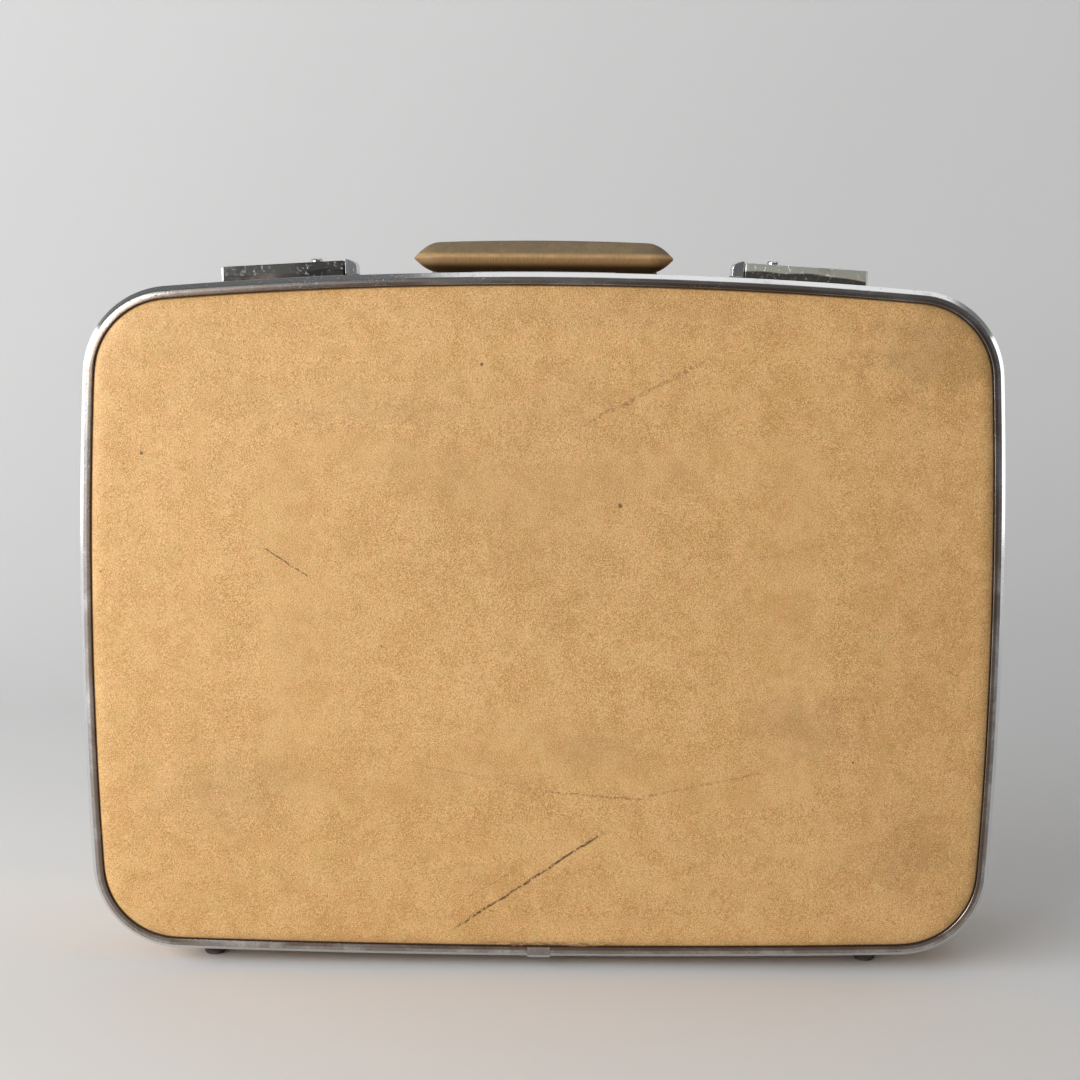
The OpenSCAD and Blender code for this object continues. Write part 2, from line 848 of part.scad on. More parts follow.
module along_latch(from, to) {
  translate([from, 0, 0])
    rotate([90, 0, 90])
      linear_extrude(to - from)
        children();
}
module latch_pin_bore(from, to) {
  translate([from, flap_pin_y, flap_pin_z])
    rotate([0, 90, 0])
      cylinder(r = flap_pin_r + fit_gap, h = to - from, $fn = 48);
}
// A guide hooks over one edge of the slide's tail, on the given side of it
module slide_guide(u, edge, side) {
  wall = edge + side * latch_gap;
  outer = wall + side * guide_t;
  lip = edge - side * guide_lap;
  along_latch(u, u + guide_l)
    polygon([
      [outer, root_z], [wall, root_z], [wall, skirt_low],
      [lip, skirt_low], [lip, skirt_low + guide_lap], [outer, skirt_low + guide_lap]
    ]);
}
module latch_plate() {
  difference() {
    union() {
      translate([-latch_half, plate_y0, -plate_sunk])
        cube([plate_end + latch_half, rail_flange + sheet_t - plate_y0, plate_sunk + plate_top]);
      translate([-latch_half, rail_flange + seat_gap, -plate_sunk])
        cube([plate_end + latch_half, plate_y1 - rail_flange - seat_gap, plate_sunk + plate_low_top]);
      for (u = [lug_in, lug_out])
        along_latch(u, u + lug_t) {
          translate([flap_pin_y, flap_pin_z]) circle(r = pin_lug_r, $fn = 48);
          polygon([
            [flap_pin_y - pin_lug_r - 2, plate_low_top - 0.5],
            [flap_pin_y + 2.4, plate_low_top - 0.5],
            [flap_pin_y + lug_taper * pin_lug_r, flap_pin_z],
            [flap_pin_y - lug_taper * pin_lug_r, flap_pin_z]
          ]);
        }
      for (u = guide_places) {
        slide_guide(u, tail_y0, -1);
        slide_guide(u, tail_y1, 1);
      }
      translate([post_in, tail_y - post_w / 2, root_z])
        cube([post_out - post_in, post_w, skirt_low + 1.3 - root_z]);
    }
    case_from_latch(rail_face, plate_y0 - cut, rail_flange + seat_gap);
    case_from_latch(vinyl_face, rail_flange, plate_y1 + cut);
    latch_pin_bore(flap_in, latch_half);
    for (p = latch_rivet_places)
      translate([p[0], p[1], 0])
        shank(hole_r, -plate_sunk - cut, plate_top + cut);
  }
}
// The case's outline, seen from a latch's frame, to seat its plates
module case_from_latch(inset, y0, y1) {
  rotate([0, -latch_tilt, 0])
    translate([-latch_x, 0, -top_c[1] - top_R * cos(latch_tilt)])
      slab(inset, y0, y1);
}
module latch_flap() {
  t = sheet_t;
  skin = [
    [-flap_reach, skirt_low], [-flap_reach, flap_h - flap_edge],
    [-flap_reach + flap_edge, flap_h], [flap_rear - flap_edge, flap_h],
    [flap_rear, flap_h - flap_edge], [flap_rear, pin_lug_z],
    [flap_rear - t, pin_lug_z], [flap_rear - t, flap_in_z],
    [-flap_reach + t, flap_in_z], [-flap_reach + t, skirt_low]
  ];
  cheek = [
    [-flap_reach, skirt_low], [-flap_reach, flap_h - flap_edge],
    [-flap_reach + flap_edge, flap_h], [flap_rear - flap_edge, flap_h],
    [flap_rear, flap_h - flap_edge], [flap_rear, pin_lug_z],
    [flap_pin_y + pin_lug_r, flap_pin_z + 0.5], [flap_pin_y - 2, skirt_low]
  ];
  difference() {
    union() {
      along_latch(flap_in, latch_half) polygon(skin);
      for (u = [flap_in, latch_half - t])
        along_latch(u, u + t) {
          polygon(cheek);
          translate([flap_pin_y, flap_pin_z]) circle(r = pin_lug_r, $fn = 48);
        }
    }
    latch_pin_bore(flap_in - cut, latch_half + cut);
    translate([barrel_place[0], barrel_place[1], 0])
      shank(barrel_body_r + fit_gap, flap_in_z - cut, flap_h + cut);
  }
}
module flap_pin() {
  translate([flap_in + 0.1, flap_pin_y, flap_pin_z])
    rotate([0, 90, 0])
      cylinder(r = flap_pin_r, h = flap_l - 0.2, $fn = 48);
}
module latch_catch() {
  t = sheet_t;
  y0 = -flap_reach + t;
  y1 = y0 + catch_lap;
  weld_l = 7.8;
  along_latch(-catch_half, catch_half)
    polygon([
      [y0, catch_low], [y1, catch_low], [y1, catch_low + t - 0.2], [y1 - 0.8, catch_low + t],
      [y0 + t, catch_low + t], [y0 + t, flap_in_z - t],
      [y0 + weld_l, flap_in_z - t], [y0 + weld_l, flap_in_z], [y0, flap_in_z]
    ]);
}
thumb_rise = 0.8;
thumb_set = 1.5;

// Rounded inner end of the thumb slide, as [distance from its end, drop from its top]
thumb_curve = [[0, 5.3], [0.3, 4], [0.9, 2.7], [1.9, 1.8], [3.3, 1.1], [5.8, 0]];
module thumb_profile(wall, low, top) {
  shrink = 1 - 2 * wall / thumb_l;
  polygon(concat(
    [[wall - latch_half, low]],
    [for (p = thumb_curve) [wall - latch_half + shrink * p[0], top - wall - p[1]]],
    [[thumb_out - wall, top - wall], [thumb_out - wall, low]]
  ));
}
module thumb_slide() {
  t = sheet_t;
  top = flap_h + thumb_rise;
  y0 = -flap_reach + thumb_set;
  y1 = tail_y1 + 1.5;
  difference() {
    union() {
      translate([0, y1, 0])
        rotate([90, 0, 0])
          linear_extrude(y1 - y0)
            thumb_profile(0, tail_low, top);
      translate([-latch_half, y0, latch_gap])
        cube([thumb_l, t, tail_low]);
    }
    translate([0, y1 - t, 0])
      rotate([90, 0, 0])
        linear_extrude(y1 - y0 - 2 * t)
          thumb_profile(t, -cut, top);
  }
  difference() {
    translate([-latch_half + t / 2, tail_y0, tail_low])
      cube([tail_end + latch_half - t / 2, tail_y1 - tail_y0, tail_top - tail_low]);
    translate([window_in, tail_y0 + window_side, tail_low - cut])
      cube([window_out - window_in, tail_y1 - tail_y0 - 2 * window_side, 2 * cut + sheet_t]);
  }
}
coil_r = 1.3;
wire_r = 0.3;
coil_turns = 7;
curl_rings = 8;
module slide_spring() {
  from = post_out + 0.1;
  to = window_out - 0.1;
  steps = coil_turns * curl_rings;
  length = to - from - 2 * wire_r;
  centre = [0, tail_y, tail_low + coil_r + wire_r];
  rings = [for (k = [0:steps]) let (a = 360 * k / curl_rings)
    [for (b = [0:60:300])
      centre + [
        from + wire_r + length * k / steps + wire_r * sin(b),
        (coil_r + wire_r * cos(b)) * cos(a),
        (coil_r + wire_r * cos(b)) * sin(a)
      ]]];
  polyhedron(
    points = [for (r = rings) each r],
    faces = concat(
      [for (k = [0:steps - 1]) each ring_faces(6, k, k + 1)],
      [[for (i = [5:-1:0]) i]],
      [[for (i = [0:5]) steps * 6 + i]]
    )
  );
}
module lock_barrel() {
  translate([barrel_place[0], barrel_place[1], 0])
    difference() {
      union() {
        shank(barrel_body_r, barrel_low, flap_h + barrel_h / 2);
        translate([0, 0, flap_h + barrel_seat])
          rotate_extrude($fn = 48)
            polygon([
              [0, 0], [barrel_r, 0], [barrel_r, barrel_h - barrel_edge],
              [barrel_r - barrel_edge, barrel_h - barrel_seat], [0, barrel_h - barrel_seat]
            ]);
        translate([0, -cam_w / 2, barrel_low])
          cube([cam_l, cam_w, sheet_t]);
      }
      translate([-key_slot_l / 2, -key_slot_w / 2, flap_h + barrel_h - key_slot_d])
        cube([key_slot_l, key_slot_w, key_slot_d + cut]);
    }
}
keeper_sunk = 2;
module keeper() {
  lip_y = flap_reach - sheet_t - catch_lap - latch_gap;
  length = keeper_u1 - keeper_u0;
  edge_t = 1;
  difference() {
    union() {
      translate([keeper_u0, keeper_y0, -keeper_sunk])
        cube([length, keeper_y1 - keeper_y0, keeper_sunk + keeper_top]);
      translate([keeper_u0, keeper_y1 - edge_t, -keeper_sunk])
        cube([length, edge_t, keeper_sunk + keeper_lip_top + 0.1]);
      translate([-catch_half, lip_y - sheet_t, -keeper_sunk])
        cube([2 * catch_half, sheet_t, keeper_sunk + keeper_lip_top]);
    }
    case_from_latch(rail_face, keeper_y0 - cut, keeper_y1 + cut);
    for (p = keeper_rivet_places)
      translate([p[0], p[1], 0])
        shank(hole_r, -keeper_sunk - cut, keeper_top + cut);
  }
}
module top_rivet(seat, end) {
  translate([0, 0, seat])
    rivet_head();
  shank(rivet_r, -end, seat + root);
}

module right_latch_plate() {
  color(worn_metal) at_latch() latch_plate();
}
module right_latch_flap() {
  color(bright_metal) at_latch() latch_flap();
}
module right_flap_pin() {
  color(steel) at_latch() flap_pin();
}
module right_latch_catch() {
  color(steel) at_latch() latch_catch();
}
module right_thumb_slide() {
  color(bright_metal) at_latch() thumb_slide();
}
module right_slide_spring() {
  color(steel) at_latch() slide_spring();
}
module right_lock_barrel() {
  color(bright_metal) at_latch() lock_barrel();
}
module right_keeper() {
  color(worn_metal) at_latch() lid_side() keeper();
}
module latch_rivets() {
  color(steel) both_sides()
    at_latch()
      for (p = latch_rivet_places)
        translate([p[0], p[1], 0])
          top_rivet(p[1] < rail_flange ? plate_top : plate_low_top, shank_end);
}
module keeper_rivets() {
  color(steel) both_sides()
    at_latch()
      lid_side()
        for (p = keeper_rivet_places)
          translate([p[0], p[1], 0])
            top_rivet(keeper_top, shank_end);
}

base_band();
base_panel();
base_face_vinyl();
base_side_vinyl();
base_moulding();
base_joint_clip();
base_rail();
base_lining();
lid_band();
lid_panel();
lid_face_vinyl();
lid_side_vinyl();
lid_moulding();
lid_joint_clip();
lid_rail();
lid_lining();
at_left() right_hinge_base_leaf();  // left_hinge_base_leaf
at_left() right_hinge_lid_leaf();  // left_hinge_lid_leaf
at_left() right_hinge_pin();  // left_hinge_pin
right_hinge_base_leaf();
right_hinge_lid_leaf();
right_hinge_pin();
hinge_base_rivets();
hinge_lid_rivets();
base_feet();
lid_feet();
base_foot_screws();
lid_foot_screws();
handle_grip();
handle_core();
at_left() right_handle_bracket();  // left_handle_bracket
right_handle_bracket();
at_left() right_handle_pin();  // left_handle_pin
right_handle_pin();
handle_rivets();
at_left() right_latch_plate();  // left_latch_plate
at_left() right_latch_flap();  // left_latch_flap
at_left() right_flap_pin();  // left_flap_pin
at_left() right_latch_catch();  // left_latch_catch
at_left() right_thumb_slide();  // left_thumb_slide
at_left() right_slide_spring();  // left_slide_spring
at_left() right_lock_barrel();  // left_lock_barrel
at_left() right_keeper();  // left_keeper
right_latch_plate();
right_latch_flap();
right_flap_pin();
right_latch_catch();
right_thumb_slide();
right_slide_spring();
right_lock_barrel();
right_keeper();
latch_rivets();
keeper_rivets();
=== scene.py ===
"""Hard shell suitcase: its covering, mouldings, linings, handle and latches, dressed over a fixed frame.

Lengths are in metres. X runs to the right, Y from the lid to the base half, Z up.
"""

import functools
import math

import bmesh
import bpy
from bpy.props import FloatProperty, FloatVectorProperty, IntProperty, PointerProperty
from mathutils import Matrix, Vector, noise


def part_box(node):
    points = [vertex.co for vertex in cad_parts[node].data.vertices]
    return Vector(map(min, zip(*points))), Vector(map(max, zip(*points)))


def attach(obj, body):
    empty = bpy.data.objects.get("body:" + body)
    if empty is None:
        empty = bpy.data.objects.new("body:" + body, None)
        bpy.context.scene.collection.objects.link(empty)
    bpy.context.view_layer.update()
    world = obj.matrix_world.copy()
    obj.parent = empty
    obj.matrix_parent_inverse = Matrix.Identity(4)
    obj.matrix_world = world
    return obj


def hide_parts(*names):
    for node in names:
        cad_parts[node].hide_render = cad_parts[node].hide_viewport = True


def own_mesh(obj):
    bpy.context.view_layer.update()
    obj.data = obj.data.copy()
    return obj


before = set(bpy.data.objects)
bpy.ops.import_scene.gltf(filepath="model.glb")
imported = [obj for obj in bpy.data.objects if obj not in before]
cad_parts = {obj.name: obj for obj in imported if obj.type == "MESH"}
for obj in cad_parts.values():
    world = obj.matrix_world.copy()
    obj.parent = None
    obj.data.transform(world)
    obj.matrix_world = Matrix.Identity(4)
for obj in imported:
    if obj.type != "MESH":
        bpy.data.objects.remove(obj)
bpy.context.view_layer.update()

bl_info = {
    "name": "Hard Shell Suitcase",
    "version": (1, 0, 0),
    "blender": (4, 5, 0),
    "location": "View3D > Sidebar > Suitcase",
    "description": "Builds the covering, mouldings, linings, handle and latches of a hard shell suitcase",
    "category": "Object",
}

MM = 0.001
# Each half with the sign of its Y, and each side with the sign of its X
HALVES = (("lid", -1), ("base", 1))
SIDES = (("left", -1), ("right", 1))

# How a padded face rises from its moulding: its start, its rises as (height, run), and its dome's run
PAD_START = -1.45 * MM
PAD_RISES = ((2.5 * MM, 2.2 * MM), (1.0 * MM, 12 * MM))
PAD_DOME = 60 * MM
# Distances in from the moulding's edge: the grid's border, then each ring of the roll
PAD_GRID = 10 * MM
PAD_RINGS = [share * MM for share in (7.5, 5.5, 4, 2.9, 2.1, 1.5, 1.0, 0.6, 0.3, 0.1, 0)]
# Rings tucked under the moulding, as (distance in, height), and how far out the back lies
PAD_TUCK = ((-0.5 * MM, -1.75 * MM), (-1.2 * MM, -1.95 * MM))
PAD_BACK = -2.1 * MM


def number(name, description, default, unit="NONE"):
    """A number that a user may change."""
    return FloatProperty(name=name, description=description, default=default, unit=unit, precision=5)


def length(name, description, millimetres):
    """A length that a user may change."""
    return number(name, description, millimetres * MM, "LENGTH")


def count(name, description, default):
    """A whole number that a user may change."""
    return IntProperty(name=name, description=description, default=default, min=2)


def colour(name, description, default):
    """A colour that a user may change."""
    return FloatVectorProperty(
        name=name, description=description, default=default, size=3, min=0.0, max=1.0, subtype="COLOR"
    )


class SuitcaseShell(bpy.types.PropertyGroup):
    """Sizes of the case's outline, its padded faces and its walls."""

    top_bow: length("Top bow", "Rise of the top edge from its corners to its middle", 14.5)
    bottom_bow: length("Bottom bow", "Fall of the bottom edge from its corners to its middle", 4.6)
    side_bow: length("Side bow", "Swell of each side edge at mid height", 7.8)
    corner_r: length("Corner radius", "Outer radius of the four corners", 54)
    face_crown: length("Face crown", "Rise of each padded face above its moulding", 4)
    vinyl_t: length("Vinyl", "Thickness of the vinyl covering", 0.8)
    dents: length("Dents", "How far the covering may settle", 0.9)
    held_border: length("Held border", "Border of the covering that the moulding holds", 9)
    settle_frames: count("Settling", "Frames of the cloth simulation", 20)
    corner_steps: count("Corner steps", "Steps round each corner and along each bow", 22)
    grid_columns: count("Columns", "Columns of a padded face", 66)
    grid_rows: count("Rows", "Rows of a padded face", 49)


class SuitcaseTrim(bpy.types.PropertyGroup):
    """Sizes of the mouldings, rails, handle and latches."""

    moulding_t: length("Moulding", "Thickness of the moulding strip", 1.1)
    moulding_face: length("Moulding face", "Width of the moulding seen from the front", 7.3)
    moulding_bevel: length("Moulding bevel", "Width of its slanting outer facet", 3)
    moulding_drop: length("Moulding drop", "Depth of its slanting outer facet", 5)
    moulding_rise: length("Moulding rise", "Depth of its inner facet", 0.7)
    moulding_lip: length("Moulding lip", "Radius of the rounded inner edge", 0.7)
    rail_face: length("Rail inset", "From the outermost edge in to the rails", 0.2)
    rail_t: length("Rail", "Thickness of the rails' walls", 1)
    rail_depth: length("Rail depth", "From the outermost edge in to the rails' inner faces", 7.1)
    groove_w: length("Groove width", "Width of the groove in the base rail", 3.6)
    groove_d: length("Groove depth", "Depth of the groove in the base rail", 5.1)
    tongue_t: length("Tongue", "Thickness of the lid's tongue", 1.2)
    tongue_gap: length("Tongue clearance", "Clearance outside the tongue", 0.35)
    latch_x: length("Latch place", "Distance of each latch from the middle of the case", 160)
    sheet_t: length("Sheet metal", "Thickness of the latches' sheet metal", 1.2)
    lining_t: length("Lining", "Thickness of the lining", 1)


class SuitcaseColours(bpy.types.PropertyGroup):
    """Colours of the finishes."""

    vinyl_light: colour("Light vinyl", "Lighter parts of the marbled covering", (0.80, 0.478, 0.212))
    vinyl_dark: colour("Dark vinyl", "Darker parts of the marbled covering", (0.46, 0.238, 0.058))
    vinyl_olive: colour("Greenish vinyl", "Cooler parts of the marbled covering", (0.53, 0.405, 0.130))
    vinyl_rosy: colour("Reddish vinyl", "Warmer parts of the marbled covering", (0.70, 0.335, 0.160))
    # Painted shade in the crack between the covering and the mouldings, and also the colour of the scuffs
    crack: colour("Crack", "Deep dirt between the covering and the mouldings", (0.056, 0.027, 0.010))
    # Dirt, and also the painted shade on the grip's underside and on the mouldings' inner edge
    grime_and_shade: colour("Grime", "Dirt along the edges and in the scuffs", (0.10, 0.055, 0.025))
    moulding_metal: colour("Moulding metal", "Bright metal of the edge mouldings", (0.74, 0.74, 0.74))
    tarnish: colour("Tarnish", "Dulled and stained metal", (0.23, 0.185, 0.155))
    # The latches' one plating in two copies: painted lighter on the right flap and darker on the left, as
    # painted reflection; the darker copy also paints shade on the parts under the flaps
    chrome: colour("Chrome", "Cleaner plating of the latches", (0.70, 0.745, 0.70))
    chrome_painted_dark: colour("Dark chrome", "Dulled plating of the latches", (0.135, 0.135, 0.13))
    # Dark clouds in the plating, and also the painted dark reflection along the lower edge of the latch flaps
    latch_stain_and_reflection: colour("Latch stain", "Dark clouds in the plating of the latches", (0.060, 0.058, 0.055))
    steel: colour("Steel", "Plated steel of the small fittings", (0.46, 0.45, 0.43))
    grip_top: colour("Grip top", "Soiled upper side of the handle's grip", (0.195, 0.145, 0.085))
    grip_low: colour("Grip underside", "Cleaner lower side of the handle's grip", (0.365, 0.235, 0.108))
    lining: colour("Lining", "Woven lining", (0.50, 0.385, 0.25))
    board: colour("Board", "Fibreboard of the shell", (0.20, 0.12, 0.06))
    foot: colour("Foot", "Hard rubber of the feet", (0.030, 0.026, 0.022))
    floor: colour("Floor", "Floor and backdrop of the studio", (0.74, 0.74, 0.735))


class SuitcaseStudio(bpy.types.PropertyGroup):
    """The camera and the lamps."""

    lens: number("Lens", "Focal length on a 36 mm sensor", 69.3, "CAMERA")
    distance: length("Distance", "From the front face back to the camera", 1243)
    height: length("Height", "Height of the camera above the middle of the face", 199.5)
    aside: length("Aside", "Distance of the camera to the right of the middle", 14)
    pitch: number("Pitch", "Downward tilt", math.radians(6.86), "ROTATION")
    yaw: number("Yaw", "Turn to the left", math.radians(0.68), "ROTATION")
    roll: number("Roll", "Turn about the view", math.radians(0.36), "ROTATION")
    key: number("Key", "Power of the large lamp at the left", 69, "POWER")
    side: number("Sides", "Power of the lamps at both sides", 5.5, "POWER")
    top: number("Top", "Power of the lamp above", 6, "POWER")
    ambient: number("Ambient", "Strength of the even light all round", 0.17)


class Outline:
    """The outline of the case: shallow bows at the top, bottom and sides, joined by round corners.

    It is kept as spots, each the centre, radius and angle of the arc that it lies on, so that a
    ring at any inset from the edge has the same spots.
    """

    def __init__(self, shell):
        low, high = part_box("lid_moulding")
        self.half_w = high.x
        self.middle = (low.z + high.z) / 2
        self.half_h = (high.z - low.z) / 2
        top_r = self.bow_radius(self.half_w, shell.top_bow)
        bottom_r = self.bow_radius(self.half_w, shell.bottom_bow)
        side_r = self.bow_radius(self.half_h, shell.side_bow)
        top_c = Vector((0, high.z - top_r))
        bottom_c = Vector((0, low.z + bottom_r))
        side_c = Vector((self.half_w - side_r, self.middle))
        r = shell.corner_r
        high_c = self.corner_centre(top_c, top_r, side_c, side_r, r, -1)
        low_c = self.corner_centre(bottom_c, bottom_r, side_c, side_r, r, 1)
        quarter = math.pi / 2
        ways = (low_c - bottom_c, low_c - side_c, high_c - side_c, high_c - top_c)
        turns = [-quarter, *(math.atan2(way.y, way.x) for way in ways), quarter]
        arcs = ((bottom_c, bottom_r), (low_c, r), (side_c, side_r), (high_c, r), (top_c, top_r))
        right = []
        steps = shell.corner_steps
        for (centre, radius), start, end in zip(arcs, turns, turns[1:]):
            right += [(centre, radius, start + (end - start) * k / steps) for k in range(steps)]
        right.append((top_c, top_r, quarter))
        left = [(Vector((-c.x, c.y)), radius, math.pi - a) for c, radius, a in right[-2:0:-1]]
        self.spots = right + left
        self.top_c, self.top_r, self.bottom_c, self.bottom_r = top_c, top_r, bottom_c, bottom_r

    @staticmethod
    def bow_radius(half_chord, bow):
        return (half_chord**2 + bow**2) / (2 * bow)

    @staticmethod
    def corner_centre(c1, r1, c2, r2, r, turn):
        """Centre of the corner arc that touches two larger arcs from inside."""
        a, b = r1 - r, r2 - r
        gap = (c2 - c1).length
        along = (a**2 - b**2 + gap**2) / (2 * gap)
        aside = math.sqrt(a**2 - along**2)
        e = (c2 - c1) / gap
        return c1 + along * e + turn * aside * Vector((-e.y, e.x))

    def point(self, spot, inset, y):
        """The point of a ring at one of its spots."""
        centre, radius, angle = self.spots[spot]
        r = radius - inset
        return Vector((centre.x + r * math.cos(angle), y, centre.y + r * math.sin(angle)))

    def ring(self, inset):
        """All points of a ring, in the plane of the parting."""
        return [self.point(k, inset, 0) for k in range(len(self.spots))]

    def spoke(self, angle, inset):
        """The way from the middle of the face to a ring in a direction, as (x, z)."""
        way = Vector((math.cos(angle), math.sin(angle)))
        ends = [Vector((p.x, p.z - self.middle)) for p in self.ring(inset)]
        for a, b in zip(ends, ends[1:] + ends[:1]):
            off_a, off_b = way.cross(a), way.cross(b)
            if off_a <= 0 < off_b and way.dot(a) > 0:
                return a.lerp(b, off_a / (off_a - off_b))
        raise ValueError(f"The outline has no point at {angle}")

    def around(self, inset):
        """Length of a ring."""
        points = self.ring(inset)
        return sum((a - b).length for a, b in zip(points, points[1:] + points[:1]))

    def bottom_z(self, x, inset):
        """Height of the bottom edge at a place across the width."""
        return self.bottom_c.y - math.sqrt((self.bottom_r - inset) ** 2 - x**2)


class Value:
    """A socket of a material, with arithmetic that adds the Math nodes it needs."""

    def __init__(self, recipe, socket):
        self.recipe = recipe
        self.socket = socket

    def __add__(self, other):
        return self.recipe.math("ADD", self, other)

    def __sub__(self, other):
        return self.recipe.math("SUBTRACT", self, other)

    def __rsub__(self, other):
        return self.recipe.math("SUBTRACT", other, self)

    def __mul__(self, other):
        return self.recipe.math("MULTIPLY", self, other)

    def __truediv__(self, other):
        return self.recipe.math("DIVIDE", self, other)

    def __abs__(self):
        return self.recipe.math("ABSOLUTE", self)

    def sway(self, amount):
        """The value about its middle, spread over an amount."""
        return (self - 0.5) * amount

    __radd__ = __add__
    __rmul__ = __mul__


class Recipe:
    """A procedural material under construction."""

    def __init__(self, name):
        self.material = bpy.data.materials.new(name)
        self.material.use_nodes = True
        self.tree = self.material.node_tree
        self.tree.nodes.clear()
        self.place = self.node("ShaderNodeTexCoord", output="Object")
        self.x, self.y, self.z = (
            self.node("ShaderNodeSeparateXYZ", sockets={"Vector": self.place}, output=axis) for axis in "XYZ"
        )

    def feed(self, socket, value):
        if isinstance(value, Value):
            self.tree.links.new(value.socket, socket)
        elif socket.type == "RGBA" and len(value) == 3:
            socket.default_value = (*value, 1)
        else:
            socket.default_value = value

    def node(self, kind, settings=None, sockets=None, output=0):
        """Any node: its settings first, then the values or links of its sockets, and its output."""
        made = self.tree.nodes.new(kind)
        for name, value in (settings or {}).items():
            setattr(made, name, value)
        for name, value in (sockets or {}).items():
            self.feed(made.inputs[name], value)
        return Value(self, made.outputs[output]) if made.outputs else None

    def math(self, operation, *values, clamp=False):
        settings = {"operation": operation, "use_clamp": clamp}
        return self.node("ShaderNodeMath", settings, dict(enumerate(values)))

    def step(self, value, low, high):
        """0 below low and 1 above high, smoothly between. With low above high it falls instead."""
        if low > high:
            return 1 - self.step(value, high, low)
        sockets = {"Value": value, "From Min": low, "From Max": high}
        return self.node("ShaderNodeMapRange", {"interpolation_type": "SMOOTHSTEP"}, sockets)

    def noise(self, scale, detail, roughness, stretch=(1, 1, 1), distortion=0.0):
        """A noise. A stretch multiplies each axis, to draw the pattern out."""
        sockets = {
            "Vector": self.node("ShaderNodeMapping", sockets={"Vector": self.place, "Scale": stretch}),
            "Scale": scale,
            "Detail": detail,
            "Roughness": roughness,
            "Distortion": distortion,
        }
        return self.node("ShaderNodeTexNoise", sockets=sockets)

    def blots(self, low, high, *pattern):
        """Where a noise is above low, fully so above high."""
        return self.step(self.noise(*pattern), low, high)

    def cells(self, scale):
        return self.node("ShaderNodeTexVoronoi", sockets={"Vector": self.place, "Scale": scale})

    def ribs(self, scale, axis, distortion=0.0):
        """Parallel ridges across an axis."""
        sockets = {"Vector": self.place, "Scale": scale, "Distortion": distortion}
        return self.node("ShaderNodeTexWave", {"bands_direction": axis}, sockets, "Fac")

    def highest(self, *values):
        return functools.reduce(lambda a, b: self.math("MAXIMUM", a, b), values)

    def away(self, x, z, reach_x=1.0, reach_z=1.0):
        """Distance from an upright line through (x, z), in reaches."""
        dx, dz = (self.x - x) / reach_x, (self.z - z) / reach_z
        return self.math("SQRT", dx * dx + dz * dz)

    def mix(self, factor, a, b):
        """A colour between a and b."""
        settings = {"data_type": "RGBA", "clamp_factor": True}
        return self.node("ShaderNodeMix", settings, {0: factor, 6: a, 7: b}, 2)

    def under(self, base, *layers):
        """A colour under thin layers, each as (how much of it shows, its colour)."""
        for share, over in layers:
            base = self.mix(share, base, over)
        return base

    def bump(self, height, distance, strength=1.0, normal=None):
        sockets = {"Height": height, "Distance": distance, "Strength": strength}
        if normal:
            sockets["Normal"] = normal
        return self.node("ShaderNodeBump", sockets=sockets)

    def softened_edges(self, radius):
        """A normal that rounds hard edges by a small radius."""
        return self.node("ShaderNodeBevel", {"samples": 4}, {"Radius": radius})

    def surface(self, **sockets):
        """Ends the recipe with a Principled surface and returns the material."""
        titles = (name.replace("_", " ").title().replace("Ior", "IOR") for name in sockets)
        shader = self.node("ShaderNodeBsdfPrincipled", sockets=dict(zip(titles, sockets.values())))
        self.node("ShaderNodeOutputMaterial", sockets={"Surface": shader})
        return self.material

    def metal(self, base, roughness, normal):
        """Ends the recipe with a metal surface that is never quite a mirror."""
        roughness = self.math("MAXIMUM", roughness, 0.06)
        return self.surface(base_color=base, metallic=1.0, roughness=roughness, normal=normal)


# Marks on the lid's face: ends as (x, z), half width, strength and how broken each is
SCUFFS = (
    ((-0.0575, 0.0235), (0.0450, 0.0925), 0.70 * MM, 0.95, 0.45),
    ((-0.0520, 0.0420), (-0.0080, 0.0690), 0.35 * MM, 0.45, 0.52),
    ((-0.1690, 0.2640), (-0.1370, 0.2435), 0.45 * MM, 0.80, 0.46),
    ((0.0200, 0.3345), (0.1050, 0.3800), 1.30 * MM, 0.42, 0.50),
    ((-0.0817, 0.1322), (0.0200, 0.1115), 1.00 * MM, 0.22, 0.50),
    ((-0.0020, 0.1140), (0.0700, 0.1092), 0.70 * MM, 0.50, 0.50),
    ((0.0560, 0.1095), (0.1400, 0.1280), 0.90 * MM, 0.36, 0.50),
    ((0.1150, 0.2550), (0.1750, 0.2680), 1.20 * MM, 0.16, 0.50),
    ((0.0480, 0.2420), (0.0500, 0.2600), 0.45 * MM, 0.35, 0.50),
)
# Specks on the lid's face: place as (x, z), radius
SPECKS = (
    ((0.0475, 0.2895), 1.7 * MM),
    ((-0.0360, 0.3733), 1.2 * MM),
    ((-0.2400, 0.3190), 1.3 * MM),
    ((-0.2660, 0.2470), 1.0 * MM),
    ((-0.0960, 0.2030), 0.7 * MM),
    ((0.1900, 0.1340), 0.9 * MM),
)
# Soft dirt on the lid's face, and broad darker patches along its top: place and reach as (x, z), strength
SMUDGES_AND_DARK_PATCHES = (
    ((0.1650, 0.1547), (0.036, 0.020), 0.16),
    ((0.0340, 0.1418), (0.026, 0.014), 0.12),
    ((0.2250, 0.0780), (0.036, 0.030), 0.16),
    # A broad darker patch at the top right
    ((0.2350, 0.3900), (0.050, 0.036), 0.24),
    # A broad darker band along the top middle
    ((0.0500, 0.4060), (0.130, 0.016), 0.12),
    ((-0.1000, 0.3460), (0.065, 0.011), 0.09),
    ((-0.1900, 0.1130), (0.050, 0.030), 0.12),
    ((0.0100, 0.3000), (0.110, 0.080), 0.09),
)


